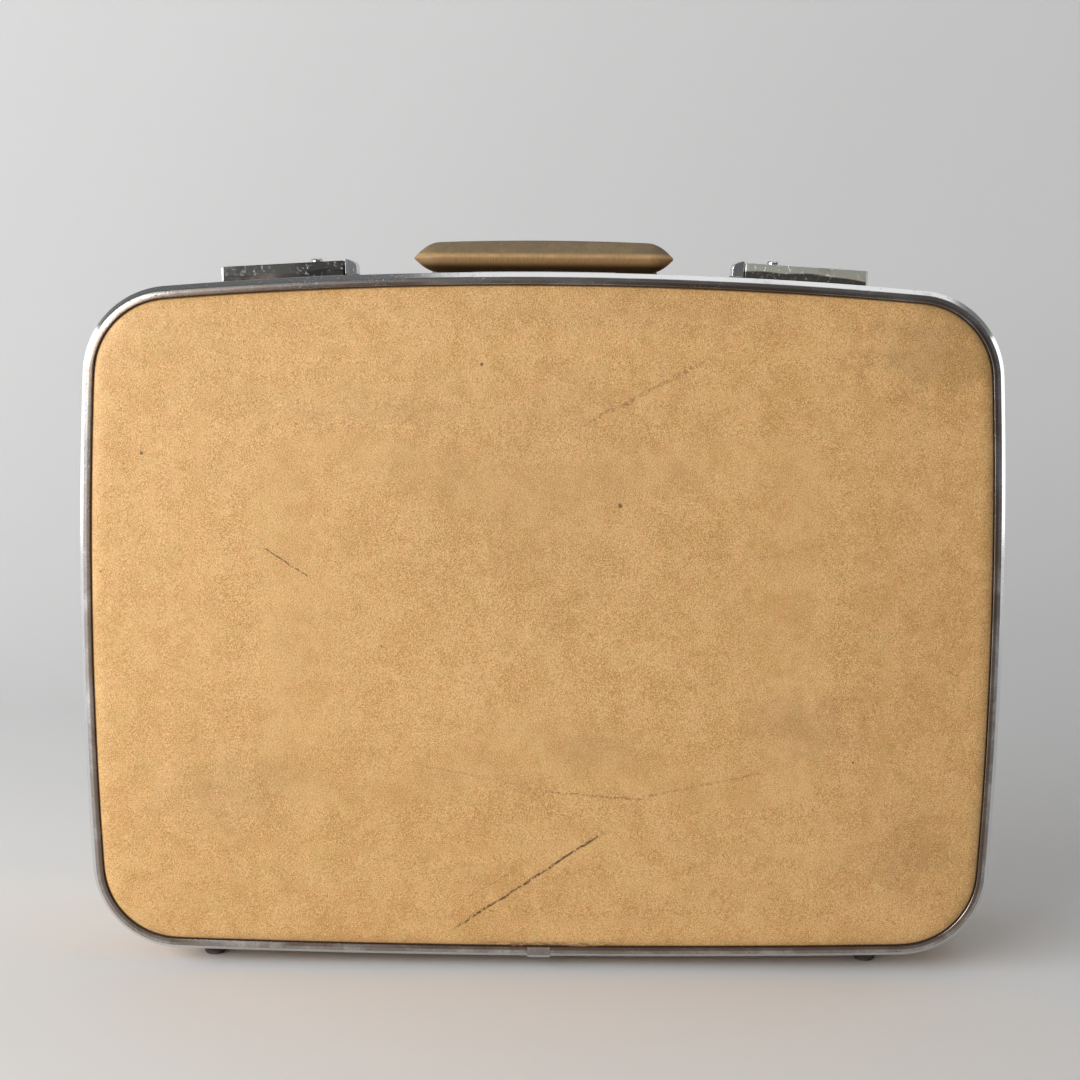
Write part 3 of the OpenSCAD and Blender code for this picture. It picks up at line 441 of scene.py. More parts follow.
def scuff_mask(r):
    """Where the covering is scuffed, from 0 to 1."""
    waver = r.noise(90, 3, 0.6).sway(5)
    crumbs = r.noise(420, 3, 0.7)
    drawn = []
    for (ax, az), (bx, bz), half_w, strength, broken in SCUFFS:
        run = math.hypot(bx - ax, bz - az)
        ux, uz = (bx - ax) / run, (bz - az) / run
        dx, dz = r.x - ax, r.z - az
        along = dx * ux + dz * uz
        off = abs(dx * uz - dz * ux + waver * half_w)
        inside = r.step(along, 0, 0.15 * run) * r.step(along, run, 0.85 * run)
        line = r.step(off, 1.4 * half_w, 0.5 * half_w) * inside
        drawn.append(line * r.step(crumbs, broken - 0.08, broken + 0.08) * strength)
    for (x, z), radius in SPECKS:
        off = r.away(x, z) + crumbs.sway(2 * radius)
        drawn.append(r.step(off, radius, 0.5 * radius) * 0.8)
    return r.highest(*drawn)


def smudge_and_dark_patch_mask(r):
    """Where soft dirt darkens the covering, from 0 to 1."""
    cloud = r.noise(75, 5, 0.7).sway(3.0)
    drawn = [r.step(r.away(*place, *reach) + cloud, 1.4, 0.1) * dark for place, reach, dark in SMUDGES_AND_DARK_PATCHES]
    return r.highest(*drawn)


def torn_mask(r, edge):
    """Where the covering is torn, at the middle of the bottom edge, from 0 to 1."""
    border = r.step(edge, 4.5 * MM, 2.0 * MM)
    across = r.step(abs(r.x - 8 * MM), 46 * MM, 30 * MM)
    return border * across * r.step(r.z, 50 * MM, 40 * MM)


def marbled_vinyl(name, colours, edged=False, scuffed=False):
    """Leathercloth with a cloudy print and a sandy grain.

    An edged covering has grime where it meets the mouldings. A scuffed one is edged too.
    """
    r = Recipe(name)
    clouds = r.noise(11, 4, 0.55)
    mottle = r.noise(46, 6, 0.68, (1.0, 1.0, 0.9), 0.5)
    flecks = r.noise(150, 5, 0.75, (1.1, 1.0, 0.9))
    grain = r.noise(1050, 2, 0.75)
    sand = r.noise(2300, 1, 0.5)
    flakes = r.step(mottle, 0.44, 0.56)
    tone = clouds.sway(0.75) + flakes.sway(0.21) + mottle.sway(0.88) + flecks.sway(1.20)
    tone = tone + grain.sway(3.0) + sand.sway(7.4)
    hue = r.noise(58, 5, 0.72, (1.1, 1.4, 1.0), 0.4)
    tint = r.noise(720, 2, 0.7, (1.0, 1.2, 1.1)).sway(0.95)
    pores = r.blots(0.58, 0.70, 1050, 1, 0.5, (1.0, 1.0, 1.2))
    base = r.under(
        r.mix(r.math("ADD", tone, 0.5, clamp=True), colours.vinyl_dark, colours.vinyl_light),
        (r.step(hue, 0.48, 0.64) * 0.12 + flakes * 0.06 + tint, colours.vinyl_olive),
        (r.step(hue, 0.52, 0.36) * 0.14 + tint * -0.7, colours.vinyl_rosy),
        (pores * 0.30, colours.grime_and_shade),
    )
    wear = 0.0
    if edged:
        edge = r.node("ShaderNodeAttribute", {"attribute_name": "edge_distance"}, output="Fac")
        dirt = r.step(edge, 7 * MM, 0.8 * MM) * r.blots(0.30, 0.70, 60, 4, 0.65)
        # Painted shade in the crack where the covering tucks under the moulding
        crack = r.step(edge, 1.5 * MM, 0.5 * MM)
        base = r.under(base, (dirt * 0.17, colours.grime_and_shade), (crack * 0.92, colours.crack))
        wear = wear + dirt * 0.4
    if scuffed:
        scuffs, torn = scuff_mask(r), torn_mask(r, edge)
        fray = r.noise(330, 4, 0.7, (0.35, 1.0, 1.0))
        base = r.under(
            base,
            (smudge_and_dark_patch_mask(r), colours.grime_and_shade),
            (scuffs * 0.92, colours.crack),
            (torn * r.step(fray, 0.42, 0.54) * 0.75, colours.grime_and_shade),
            (torn * r.step(fray, 0.54, 0.62) * 0.85, colours.vinyl_rosy),
        )
        wear = wear + scuffs + torn * fray
    height = grain * 0.9 + r.cells(900) * 0.6 + mottle * 0.4 - wear * 0.8
    return r.surface(
        base_color=base,
        roughness=0.46 + mottle.sway(0.20) + grain.sway(0.30) + wear * 0.18,
        normal=r.bump(height, 0.35 * MM, 0.6),
        specular_ior_level=0.42,
        sheen_weight=0.05,
    )


def aged_metal(name, bright, dull, roughness, stain=0.5, pitted=0.3, rounded=0.0):
    """Plated or polished metal with stains, fine scratches and pits."""
    r = Recipe(name)
    patches = r.blots(0.62 - 0.30 * stain, 0.92 - 0.30 * stain, 38, 5, 0.68, (1, 1, 1), 0.5)
    spots = r.blots(0.60, 0.74, 520, 3, 0.7) * r.blots(0.40, 0.62, 120, 2, 0.5)
    hairs = r.noise(60, 3, 0.7, (30.0, 30.0, 2.0))
    worn = r.math("ADD", patches * (0.75 * stain), spots * pitted, clamp=True)
    normal = r.softened_edges(rounded) if rounded else None
    return r.metal(
        r.mix(worn, bright, dull),
        roughness + worn * 0.30 + hairs.sway(0.22),
        r.bump(hairs * 0.25 - spots * pitted, 0.10 * MM, 0.6, normal),
    )


def edge_metal(name, colours, front):
    """The mouldings' bright metal: polished on the slanting side, dulled and pitted towards the front."""
    r = Recipe(name)
    depth = abs(r.y)
    facing = r.step(depth, front - 1.3 * MM, front - 0.8 * MM)
    clouds = r.noise(30, 5, 0.7, distortion=0.5)
    dulled = r.step(clouds, 0.26, 0.60)
    stained = r.step(clouds, 0.58, 0.76) * 0.35
    pits = r.blots(0.58, 0.68, 520, 3, 0.75) * r.blots(0.40, 0.60, 110, 3, 0.6)
    hairs = r.noise(55, 3, 0.7, (30.0, 30.0, 30.0))
    worn = stained + (dulled * 0.62 + 0.22 - stained) * facing
    # The rounded inner edge, darkened in patches: painted shade next to the covering
    lip = r.step(depth, front - 0.34 * MM, front - 0.12 * MM)
    lip = lip * r.step(depth, front + 0.10 * MM, front + 0.02 * MM)
    base = r.under(
        colours.moulding_metal,
        (worn, colours.tarnish),
        (lip * r.blots(0.34, 0.50, 7, 3, 0.6) * 0.72, colours.grime_and_shade),
        (pits * (0.15 + facing * 0.6), colours.grime_and_shade),
    )
    rough = 0.13 + worn * 0.20 + pits * 0.2 + hairs.sway(0.10)
    return r.metal(base, rough, r.bump(hairs * 0.15 - pits * (0.3 + facing * 0.5), 0.10 * MM, 0.6))


def latch_chrome(name, colours, bright, stain, roughness, seat=None):
    """Worn plating with clouds, pale pits and brown spots, darker in waves above its seat.

    The seat is a straight line along the lower edge of a piece, as (x, z, slope, reach). At its
    reach from x the outer end of the piece is worn bright.
    """
    r = Recipe(name)
    clouds = r.noise(26, 4, 0.6, (0.6, 1.0, 1.8), 0.8)
    patches = r.step(clouds, 0.66 - 0.34 * stain, 0.86 - 0.34 * stain)
    pits = r.blots(0.58, 0.67, 430, 3, 0.75) * r.blots(0.42, 0.62, 70, 2, 0.5)
    brown = r.blots(0.58, 0.72, 34, 3, 0.6, (1.0, 1.0, 2.0))
    base = r.mix(patches * 0.8, bright, colours.latch_stain_and_reflection)
    if seat:
        x, z, slope, reach = seat
        # Painted dark reflection: a wavy dark band along the lower edge, above the seat
        wave = r.noise(16, 2, 0.5, (1.0, 0.2, 0.2)).sway(14 * MM)
        rise = r.z - z - (r.x - x) * slope + wave
        base = r.mix(r.step(rise, 3.9 * MM, 2.9 * MM) * 0.92, base, colours.latch_stain_and_reflection)
    brown = brown * (0.25 + 0.4 * stain)
    base = r.under(base, (brown, colours.tarnish), (pits * 0.35, colours.moulding_metal))
    # Painted highlight along the outer end of the piece
    if seat:
        end = abs(x) + reach
        base = r.mix(r.step(abs(r.x), end - 1.3 * MM, end - 1.1 * MM), base, colours.moulding_metal)
    normal = r.bump(clouds * 0.2 - pits, 0.15 * MM, 0.7)
    return r.metal(base, roughness + patches * 0.16 + pits * 0.15, normal)


def grip_leathercloth(name, colours, ridge_z, reach):
    """The grip's covering: a fine ribbed cloth print, soiled on top, clean along the ridge."""
    r = Recipe(name)

    def band(low, high):
        """Across the grip, between two heights over its ridge in shares of its reach."""
        return r.step(r.z, ridge_z + low * reach, ridge_z + high * reach)

    up = band(0.10, 0.24)
    mottle = r.noise(85, 4, 0.6)
    grain = r.noise(900, 2, 0.6)
    ribs = r.ribs(330, "X", 0.6)
    threads = r.noise(420, 2, 0.6, (2.2, 1.0, 0.5))
    hue = r.noise(60, 3, 0.6)
    # Where the painted highlight along the ridge goes
    ridge = r.step(abs(r.z - ridge_z + 0.02 * reach), 0.16 * reach, 0.04 * reach)
    base = r.under(
        colours.grip_low,
        (up * (0.92 + mottle.sway(0.5)), colours.grip_top),
        (up * r.step(hue, 0.50, 0.66) * 0.10, colours.vinyl_olive),
        (up * r.step(hue, 0.50, 0.36) * 0.08, colours.vinyl_rosy),
        # Painted shade on the underside, deepening to near black low down
        (band(-0.05, -0.80) * 0.55, colours.grime_and_shade),
        (band(-0.38, -0.78) * 0.97, (0.012, 0.008, 0.005)),
        ((1 - ribs) * 0.30 + threads.sway(0.55) + grain.sway(0.55), colours.grime_and_shade),
        # Painted highlight along the ridge
        (ridge * (0.25 + mottle.sway(0.9)), colours.vinyl_light),
    )
    return r.surface(
        base_color=base,
        roughness=0.50 + mottle.sway(0.22) + up * 0.10,
        normal=r.bump(ribs * 0.35 + threads * 0.8 + grain * 0.3, 0.25 * MM, 0.5),
        specular_ior_level=0.35,
    )


def woven_lining(name, colours):
    """A plain woven lining with a soft watered sheen."""
    r = Recipe(name)
    weave_scale = 143.3
    weave = r.highest(*(r.ribs(weave_scale, axis) for axis in "XZY"))
    slubs = r.noise(260, 3, 0.6, (0.25, 1.0, 2.0))
    watered = r.noise(16, 4, 0.6, (0.6, 1.0, 2.2), 1.2)
    base = r.under(
        colours.lining,
        (slubs.sway(0.8) + watered.sway(1.0) + 0.35, (0.34, 0.235, 0.135)),
        (r.blots(0.60, 0.80, 24, 4, 0.6) * 0.22, colours.grime_and_shade),
    )
    return r.surface(
        base_color=base,
        roughness=0.62 + watered.sway(0.35),
        normal=r.bump(weave * 0.5 + slubs * 0.5, 0.25 * MM, 0.5),
        sheen_weight=0.25,
        sheen_roughness=0.4,
    )


def fibreboard(name, colours):
    """Pressed fibreboard with flecks."""
    r = Recipe(name)
    fibres = r.noise(260, 5, 0.7, (0.4, 1.0, 1.0))
    flecks = r.blots(0.58, 0.72, 620, 2, 0.6) * 0.4
    base = r.under(colours.board, (fibres, (0.31, 0.205, 0.115)), (flecks, (0.07, 0.04, 0.02)))
    normal = r.bump(fibres, 0.3 * MM, 0.5)
    return r.surface(base_color=base, roughness=0.80 + fibres.sway(0.2), normal=normal)


def hard_rubber(name, colours):
    """Black hard rubber, dulled and dusty at its foot."""
    r = Recipe(name)
    speckle = r.noise(700, 3, 0.6)
    dust = r.step(r.z, 4 * MM, 0.2 * MM) * r.blots(0.4, 0.7, 240, 3, 0.6)
    base = r.under(colours.foot, (speckle * 0.5, (0.055, 0.048, 0.042)), (dust * 0.5, (0.22, 0.19, 0.15)))
    return r.surface(base_color=base, roughness=0.52 + speckle * 0.2, normal=r.bump(speckle, 0.15 * MM, 0.4))


def deselect():
    """Leaves edit mode and selects nothing."""
    active = bpy.context.view_layer.objects.active
    if active and active.mode != "OBJECT":
        leave_edit()
    bpy.ops.object.select_all(action="DESELECT")


def pick(obj):
    """Makes obj the only selected object."""
    deselect()
    obj.select_set(True)
    bpy.context.view_layer.objects.active = obj


def add(name, primitive, **settings):
    """Adds a mesh primitive."""
    deselect()
    getattr(bpy.ops.mesh, f"primitive_{primitive}_add")(**settings)
    bpy.context.object.name = name
    return bpy.context.object


def link(name, data):
    """Adds an object with data that is there already."""
    obj = bpy.data.objects.new(name, data)
    bpy.context.scene.collection.objects.link(obj)
    return obj


def edit(obj, kind, action="DESELECT"):
    """Enters edit mode with nothing or everything selected."""
    pick(obj)
    bpy.ops.object.mode_set(mode="EDIT")
    bpy.ops.mesh.select_mode(type=kind)
    bpy.ops.mesh.select_all(action=action)
    return bmesh.from_edit_mesh(obj.data)


def leave_edit():
    bpy.ops.object.mode_set(mode="OBJECT")


def select(obj, kind, test):
    """Enters edit mode and selects the edges or the faces that a test picks."""
    bm = edit(obj, kind)
    for element in bm.faces if kind == "FACE" else bm.edges:
        element.select_set(test(element))
    bmesh.update_edit_mesh(obj.data)


def work_on(obj, kind, test, operator, **settings):
    """Runs a mesh operator on the edges or the faces that a test picks."""
    select(obj, kind, test)
    operator(**settings)
    leave_edit()


def modify(obj, kind, **settings):
    """Adds a modifier and applies it."""
    pick(obj)
    modifier = obj.modifiers.new(kind.title(), kind)
    for name, value in settings.items():
        setattr(modifier, name, value)
    bpy.ops.object.modifier_apply(modifier=modifier.name)


def bevel(obj, width, segments, degrees):
    """Rounds the edges that are sharper than an angle."""
    limit = math.radians(degrees)
    modify(obj, "BEVEL", width=width, segments=segments, limit_method="ANGLE", angle_limit=limit)


def clean(obj, gap=0.01 * MM):
    """Merges doubles and turns the faces outwards."""
    edit(obj, "VERT", "SELECT")
    bpy.ops.mesh.remove_doubles(threshold=gap)
    bpy.ops.mesh.normals_make_consistent(inside=False)
    leave_edit()


def dress(obj, material, body, node, smooth=40, crisp=True):
    """Gives a finished piece its material, its body, its slot and the node it stands for.

    A crisp piece has flat facets between its rounded edges.
    """
    pick(obj)
    bpy.ops.object.shade_smooth_by_angle(angle=math.radians(smooth))
    if crisp:
        modify(obj, "WEIGHTED_NORMAL", keep_sharp=True, weight=80)
    obj.data.materials.clear()
    obj.data.materials.append(material)
    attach(obj, body)
    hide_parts(node)


def extrude_rings(name, rings, capped):
    """A row of rings, each a list of points, extruded from ring to ring. A capped row has end faces."""
    fill = "NGON" if capped else "NOTHING"
    obj = add(name, "circle", vertices=len(rings[0]), radius=1, fill_type=fill)
    bm = edit(obj, "VERT", "SELECT")
    spot = bm.verts.layers.int.new("spot")
    for k, v in enumerate(bm.verts):
        v[spot] = k
    extrude = bpy.ops.mesh.extrude_region_move if capped else bpy.ops.mesh.extrude_edges_move
    for k, ring in enumerate(rings):
        if k:
            extrude()
            bm = bmesh.from_edit_mesh(obj.data)
            spot = bm.verts.layers.int["spot"]
        for v in bm.verts:
            if v.select:
                v.co = ring[v[spot]]
        bmesh.update_edit_mesh(obj.data)
    leave_edit()
    obj.data.attributes.remove(obj.data.attributes["spot"])
    clean(obj)
    return obj


def sweep(name, outline, side, section, bevel_w, segments=2):
    """A strip of closed section round one half. The section's points are (inset, depth from the parting)."""
    spots = range(len(outline.spots))
    rings = [[outline.point(k, inset, side * y) for k in spots] for inset, y in [*section, section[0]]]
    obj = extrude_rings(name, rings, capped=False)
    bevel(obj, bevel_w, segments, degrees=28)
    return obj


def drop_faces(obj, test):
    """Deletes the faces that a test of their centre and normal picks."""

    def picked(face):
        return test(face.calc_center_median(), face.normal)

    work_on(obj, "FACE", picked, bpy.ops.mesh.delete, type="FACE")


def join(name, objects):
    """Joins objects into one."""
    deselect()
    for obj in objects:
        obj.select_set(True)
    bpy.context.view_layer.objects.active = objects[0]
    bpy.ops.object.join()
    objects[0].name = name
    return objects[0]


def mirrored(obj, name):
    """A copy of a piece on the other side of the middle plane, with its faces turned outwards."""
    copy = link(name, obj.data.copy())
    copy.data.transform(Matrix.Scale(-1, 4, (1, 0, 0)))
    copy.data.flip_normals()
    return copy


def depths(node):
    """How far from the parting of the halves a node starts and ends."""
    return sorted(abs(corner.y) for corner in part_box(node))


class Latch:
    """The frame of the right latch: its origin on the case's edge, x outwards along the top."""

    def __init__(self, outline, trim):
        self.tilt = math.asin(trim.latch_x / outline.top_r)
        origin = Vector((trim.latch_x, 0, outline.top_c.y + outline.top_r * math.cos(self.tilt)))
        self.place = Matrix.Translation(origin) @ Matrix.Rotation(self.tilt, 4, "Y")

    def box(self, node):
        """The box of a right-hand node in the latch's frame."""
        back = self.place.inverted()
        points = [back @ v.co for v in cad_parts[node].data.vertices]
        return [Vector([end(p[k] for p in points) for k in range(3)]) for end in (min, max)]

    def pair(self, obj, name):
        """A finished piece in its place and its mirror image, with the side of each."""
        obj.name = f"right_{name}"
        obj.data.transform(self.place)
        return (("left", mirrored(obj, f"left_{name}")), ("right", obj))


def user_settings():
    """The sizes and colours that a user may change, and the outline that they make."""
    scene = bpy.context.scene
    shell = scene.suitcase_shell
    return shell, scene.suitcase_trim, scene.suitcase_colours, Outline(shell)


def pad_height(distance, crown):
    """Height of a padded face above its moulding, at a distance in from the moulding's inner edge."""
    rises = (*PAD_RISES, (crown - PAD_START - sum(rise for rise, _ in PAD_RISES), PAD_DOME))
    return PAD_START + sum(rise * (1 - math.exp(-distance / run)) for rise, run in rises)


def unevenness(x, z, seed):
    """Soft lumps of the wadding, from -1 to 1."""
    broad = noise.noise(Vector((x * 13, z * 13, seed)))
    fine = noise.noise(Vector((x * 46, z * 46, seed + 7.3)))
    return 0.75 * broad + 0.25 * fine


def laid_grid(name, outline, shell, inset, margin, depth):
    """A grid over one half, its border at an inset from the case's edge.

    Its layer edge_distance is each point's distance in from a line that lies margin outside that
    border, and depth gives y from it.
    """
    columns, rows = shell.grid_columns, shell.grid_rows
    obj = add(name, "grid", x_subdivisions=columns, y_subdivisions=rows, size=2)
    edge = obj.data.attributes.new("edge_distance", "FLOAT", "POINT").data
    spokes = {}
    for v in obj.data.vertices:
        share = max(abs(v.co.x), abs(v.co.y))
        key = (round(v.co.x / share, 4), round(v.co.y / share, 4)) if share > 1e-6 else (1, 0)
        if key not in spokes:
            angle = math.atan2(key[1] * outline.half_h, key[0] * outline.half_w)
            spokes[key] = outline.spoke(angle, inset)
        spoke = spokes[key]
        edge[v.index].value = margin + (1 - share) * spoke.length
        v.co = (spoke.x * share, depth(edge[v.index].value), outline.middle + spoke.y * share)
    return obj


def padded_face(name, side, outline, shell, trim):
    """A crowned pad: a grid laid over the face, whose border rolls down under the moulding."""
    face_y = depths("lid_moulding")[1]
    back = depths("lid_face_vinyl")[0] - face_y
    crown, inset = shell.face_crown, trim.moulding_face

    def depth(distance):
        return side * (face_y + pad_height(distance, crown))

    obj = laid_grid(name, outline, shell, inset + PAD_GRID, PAD_GRID, depth)
    rings = [(d, pad_height(d, crown)) for d in PAD_RINGS]
    rings += [*PAD_TUCK, (PAD_BACK, back)]
    select(obj, "EDGE", lambda e: e.is_boundary)
    for distance, lift in rings:
        bpy.ops.mesh.extrude_edges_move()
        bm = bmesh.from_edit_mesh(obj.data)
        edge = bm.verts.layers.float["edge_distance"]
        for v in bm.verts:
            if v.select:
                spoke = outline.spoke(math.atan2(v.co.z - outline.middle, v.co.x), inset + distance)
                v.co = (spoke.x, side * (face_y + lift), outline.middle + spoke.y)
                v[edge] = max(distance, 0)
        bmesh.update_edit_mesh(obj.data)
    clean(obj)
    return obj


def close_back(obj):
    """Closes the open back of a pad with one flat face."""
    work_on(obj, "EDGE", lambda e: e.is_boundary, bpy.ops.mesh.edge_face_add)
    clean(obj)


def settle_padding(obj, side, shell):
    """Lets the covering settle over its wadding: a cloth held at its border and pressed unevenly."""
    rest = [v.co.copy() for v in obj.data.vertices]
    edge = [point.value for point in obj.data.attributes["edge_distance"].data]
    held = obj.vertex_groups.new(name="held")
    pressed = obj.vertex_groups.new(name="pressed")
    for v, distance in zip(obj.data.vertices, edge):
        lump = unevenness(v.co.x, v.co.z, side * 3.1)
        held.add([v.index], 1.0 if distance < shell.held_border else 0.0, "REPLACE")
        pressed.add([v.index], min(1.0, max(0.0, 0.5 + 0.9 * lump)), "REPLACE")
    pick(obj)
    cloth = obj.modifiers.new("Cloth", "CLOTH")
    cloth.settings.quality = 4
    cloth.settings.vertex_group_mass = held.name
    cloth.settings.use_pressure = True
    cloth.settings.uniform_pressure_force = 0.2
    cloth.settings.vertex_group_pressure = pressed.name
    cloth.settings.effector_weights.gravity = 0.0
    cloth.collision_settings.use_collision = False
    cloth.point_cache.frame_start = 1
    cloth.point_cache.frame_end = shell.settle_frames
    for frame_number in range(1, shell.settle_frames + 1):
        bpy.context.scene.frame_set(frame_number)
    bpy.ops.object.modifier_apply(modifier=cloth.name)
    bpy.context.scene.frame_set(1)
    obj.vertex_groups.clear()
    for v, start in zip(obj.data.vertices, rest):
        move = min(shell.dents, max(-shell.dents, v.co.y - start.y))
        v.co = start + Vector((0, move, 0))


class SUITCASE_OT_stage(bpy.types.Operator):
    """Add the floor, the backdrop, the lamps and the camera"""

    bl_idname = "suitcase.stage"
    bl_label = "Stage"

    def execute(self, context):
        studio = context.scene.suitcase_studio
        self.backdrop(context.scene.suitcase_colours)
        self.world(context, studio)
        low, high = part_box("lid_moulding")
        middle = Vector((0, low.y, (low.z + high.z) / 2))
        over = Vector((0.75, 0.15, 0))
        self.lamp("key_lamp", (-1.72, -1.40, 0.88), middle, (2.7, 1.0), studio.key)
        self.lamp("left_lamp", (-1.9, 0.45, 0.55), middle, (1.3, 1.0), studio.side)
        self.lamp("right_lamp", (1.9, 0.95, 0.55), middle, (1.3, 1.0), studio.side)
        self.lamp("top_lamp", (over.x, over.y, 1.9), over, (1.9, 1.2), studio.top)
        self.camera(context, studio, middle)
        context.scene.view_settings.view_transform = "Standard"
        return {"FINISHED"}

    def backdrop(self, colours):
        """A pale floor that curves up into a pale wall."""
        width, front, back, height = 9.0, -5.0, 1.6, 4.0
        obj = add("studio_floor", "plane", size=1, location=(0, (front + back) / 2, 0))
        obj.scale = (width, back - front, 1)
        bpy.ops.object.transform_apply(location=True, rotation=True, scale=True)

        def at_back(edge):
            return all(v.co.y > back - MM for v in edge.verts)

        up = {"value": (0, 0, height)}
        work_on(obj, "EDGE", at_back, bpy.ops.mesh.extrude_edges_move, TRANSFORM_OT_translate=up)
        bevel(obj, 0.9, segments=16, degrees=30)
        r = Recipe("Studio_Paper")
        shade = r.noise(3, 2, 0.5).sway(0.1) + 0.5
        base = r.mix(shade, colours.floor, tuple(0.97 * c for c in colours.floor))
        pick(obj)
        bpy.ops.object.shade_smooth_by_angle(angle=math.radians(60))
        obj.data.materials.append(r.surface(base_color=base, roughness=0.7, specular_ior_level=0.2))

    def world(self, context, studio):
        """An even, slightly cool light all round."""
        world = bpy.data.worlds.new("Studio_World")
        context.scene.world = world
        world.use_nodes = True
        background = world.node_tree.nodes["Background"]
        background.inputs["Color"].default_value = (0.93, 0.96, 1.0, 1)
        background.inputs["Strength"].default_value = studio.ambient

    def lamp(self, name, place, target, size, power):
        """A rectangular lamp that faces its target."""
        data = bpy.data.lights.new(name, "AREA")
        data.shape = "RECTANGLE"
        data.size, data.size_y = size
        data.energy = power
        obj = link(name, data)
        obj.location = place
        obj.rotation_euler = (target - Vector(place)).to_track_quat("-Z", "Y").to_euler()

    def camera(self, context, studio, middle):
        """A camera in front of the case, a little above its middle."""
        data = bpy.data.cameras.new("camera")
        data.lens = studio.lens
        data.sensor_width = 36
        place = middle + Vector((studio.aside, -studio.distance, studio.height))
        turn = Matrix.Rotation(studio.yaw, 4, "Z") @ Matrix.Rotation(math.pi / 2 - studio.pitch, 4, "X")
        obj = link("camera", data)
        obj.matrix_world = Matrix.Translation(place) @ turn @ Matrix.Rotation(studio.roll, 4, "Z")
        context.scene.camera = obj


class SUITCASE_OT_faces(bpy.types.Operator):
    """Add the two padded faces"""

    bl_idname = "suitcase.faces"
    bl_label = "Padded faces"

    def execute(self, context):
        shell, trim, colours, outline = user_settings()
        for half, side in HALVES:
            obj = padded_face(f"{half}_padded_face", side, outline, shell, trim)
            settle_padding(obj, side, shell)
            modify(obj, "SUBSURF", levels=1, render_levels=1)
            close_back(obj)
            vinyl = marbled_vinyl(f"Marbled_Vinyl_{half.title()}", colours, edged=True, scuffed=half == "lid")
            dress(obj, vinyl, half, f"{half}_face_vinyl", smooth=50, crisp=False)
        return {"FINISHED"}


class SUITCASE_OT_side_covers(bpy.types.Operator):
    """Add the vinyl covering round the sides of both halves"""

    bl_idname = "suitcase.side_covers"
    bl_label = "Side covers"

    def execute(self, context):
        shell, trim, colours, outline = user_settings()
        vinyl = marbled_vinyl("Marbled_Vinyl_Sides", colours)
        outer = trim.rail_face + trim.rail_t
        inner = outer + shell.vinyl_t
        around = outline.around((outer + inner) / 2)
        for half, side in HALVES:
            start, end = depths(f"{half}_side_vinyl")
            section = [(outer, start), (outer, end), (inner, end), (inner, start)]
            obj = sweep(f"{half}_side_cover", outline, side, section, 0.25 * MM)
            dress(obj, vinyl, half, f"{half}_side_vinyl")
        return {"FINISHED"}


class SUITCASE_OT_mouldings(bpy.types.Operator):
    """Add the edge mouldings and the clips over their joints"""

    bl_idname = "suitcase.mouldings"
    bl_label = "Edge mouldings"

    def execute(self, context):
        _, trim, colours, outline = user_settings()
        metal = edge_metal("Moulding_Metal", colours, depths("lid_moulding")[1])
        t, slant, drop, rise = trim.moulding_t, trim.moulding_bevel, trim.moulding_drop, trim.moulding_rise
        face, lip = trim.moulding_face, trim.moulding_lip
        swell = face - lip - slant
        for half, side in HALVES:
            start, face_y = depths(f"{half}_moulding")
            section = [
                (0, start),
                (0, face_y - drop),
                (slant, face_y - rise),
                (slant + 0.36 * swell, face_y - 0.50 * rise),
                (slant + 0.70 * swell, face_y - 0.16 * rise),
                (face - lip, face_y),
                (face - 0.36 * lip, face_y - 0.17 * lip),
                (face, face_y - 0.64 * lip),
                (face, face_y - t),
                (slant + 0.55 * t, face_y - rise - 0.9 * t),
                (t, face_y - drop - 0.36 * t),
                (t, start),
            ]
            obj = sweep(f"{half}_edge_moulding", outline, side, section, 0.28 * MM, segments=3)
            dress(obj, metal, half, f"{half}_moulding")
            clip = link(f"{half}_clip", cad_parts[f"{half}_joint_clip"].data.copy())
            clean(clip)
            bevel(clip, 0.22 * MM, segments=2, degrees=25)
            dress(clip, metal, half, f"{half}_joint_clip")
        return {"FINISHED"}


class SUITCASE_OT_rails(bpy.types.Operator):
    """Add the parting rails, with the groove in the base and the tongue on the lid"""

    bl_idname = "suitcase.rails"
    bl_label = "Parting rails"

    web_t = 1.2 * MM

    def execute(self, context):
        _, trim, colours, outline = user_settings()
        bright, dull = colours.moulding_metal, colours.tarnish
        metal = aged_metal("Rail_Metal", bright, dull, roughness=0.26, stain=0.35, pitted=0.3)
        gap, flange = depths("base_rail")
        out, inner, t = trim.rail_face, trim.rail_depth, trim.rail_t
        wall = out + t
        deep = trim.groove_d
        groove = wall + trim.groove_w
        tongue = wall + trim.tongue_gap
        tip = -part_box("lid_rail")[1].y

        def channel(floor):
            """The outer wall, the web over a floor, and the inner wall."""
            web = floor + self.web_t
            outer_wall = [(out, gap), (out, flange), (wall, flange), (wall, web)]
            return [*outer_wall, (inner - t, web), (inner - t, flange), (inner, flange), (inner, floor)]

        base = [
            *channel(deep), (groove + t, deep), (groove + t, gap), (groove, gap), (groove, deep),
            (wall, deep), (wall, gap),
        ]
        tongue_in = tongue + trim.tongue_t
        lid = [*channel(gap), (tongue_in, gap), (tongue_in, tip), (tongue, tip), (tongue, gap)]
        for half, side, section in (("base", 1, base), ("lid", -1, lid)):
            obj = sweep(f"{half}_parting_rail", outline, side, section, 0.16 * MM)
            dress(obj, metal, half, f"{half}_rail")
        return {"FINISHED"}


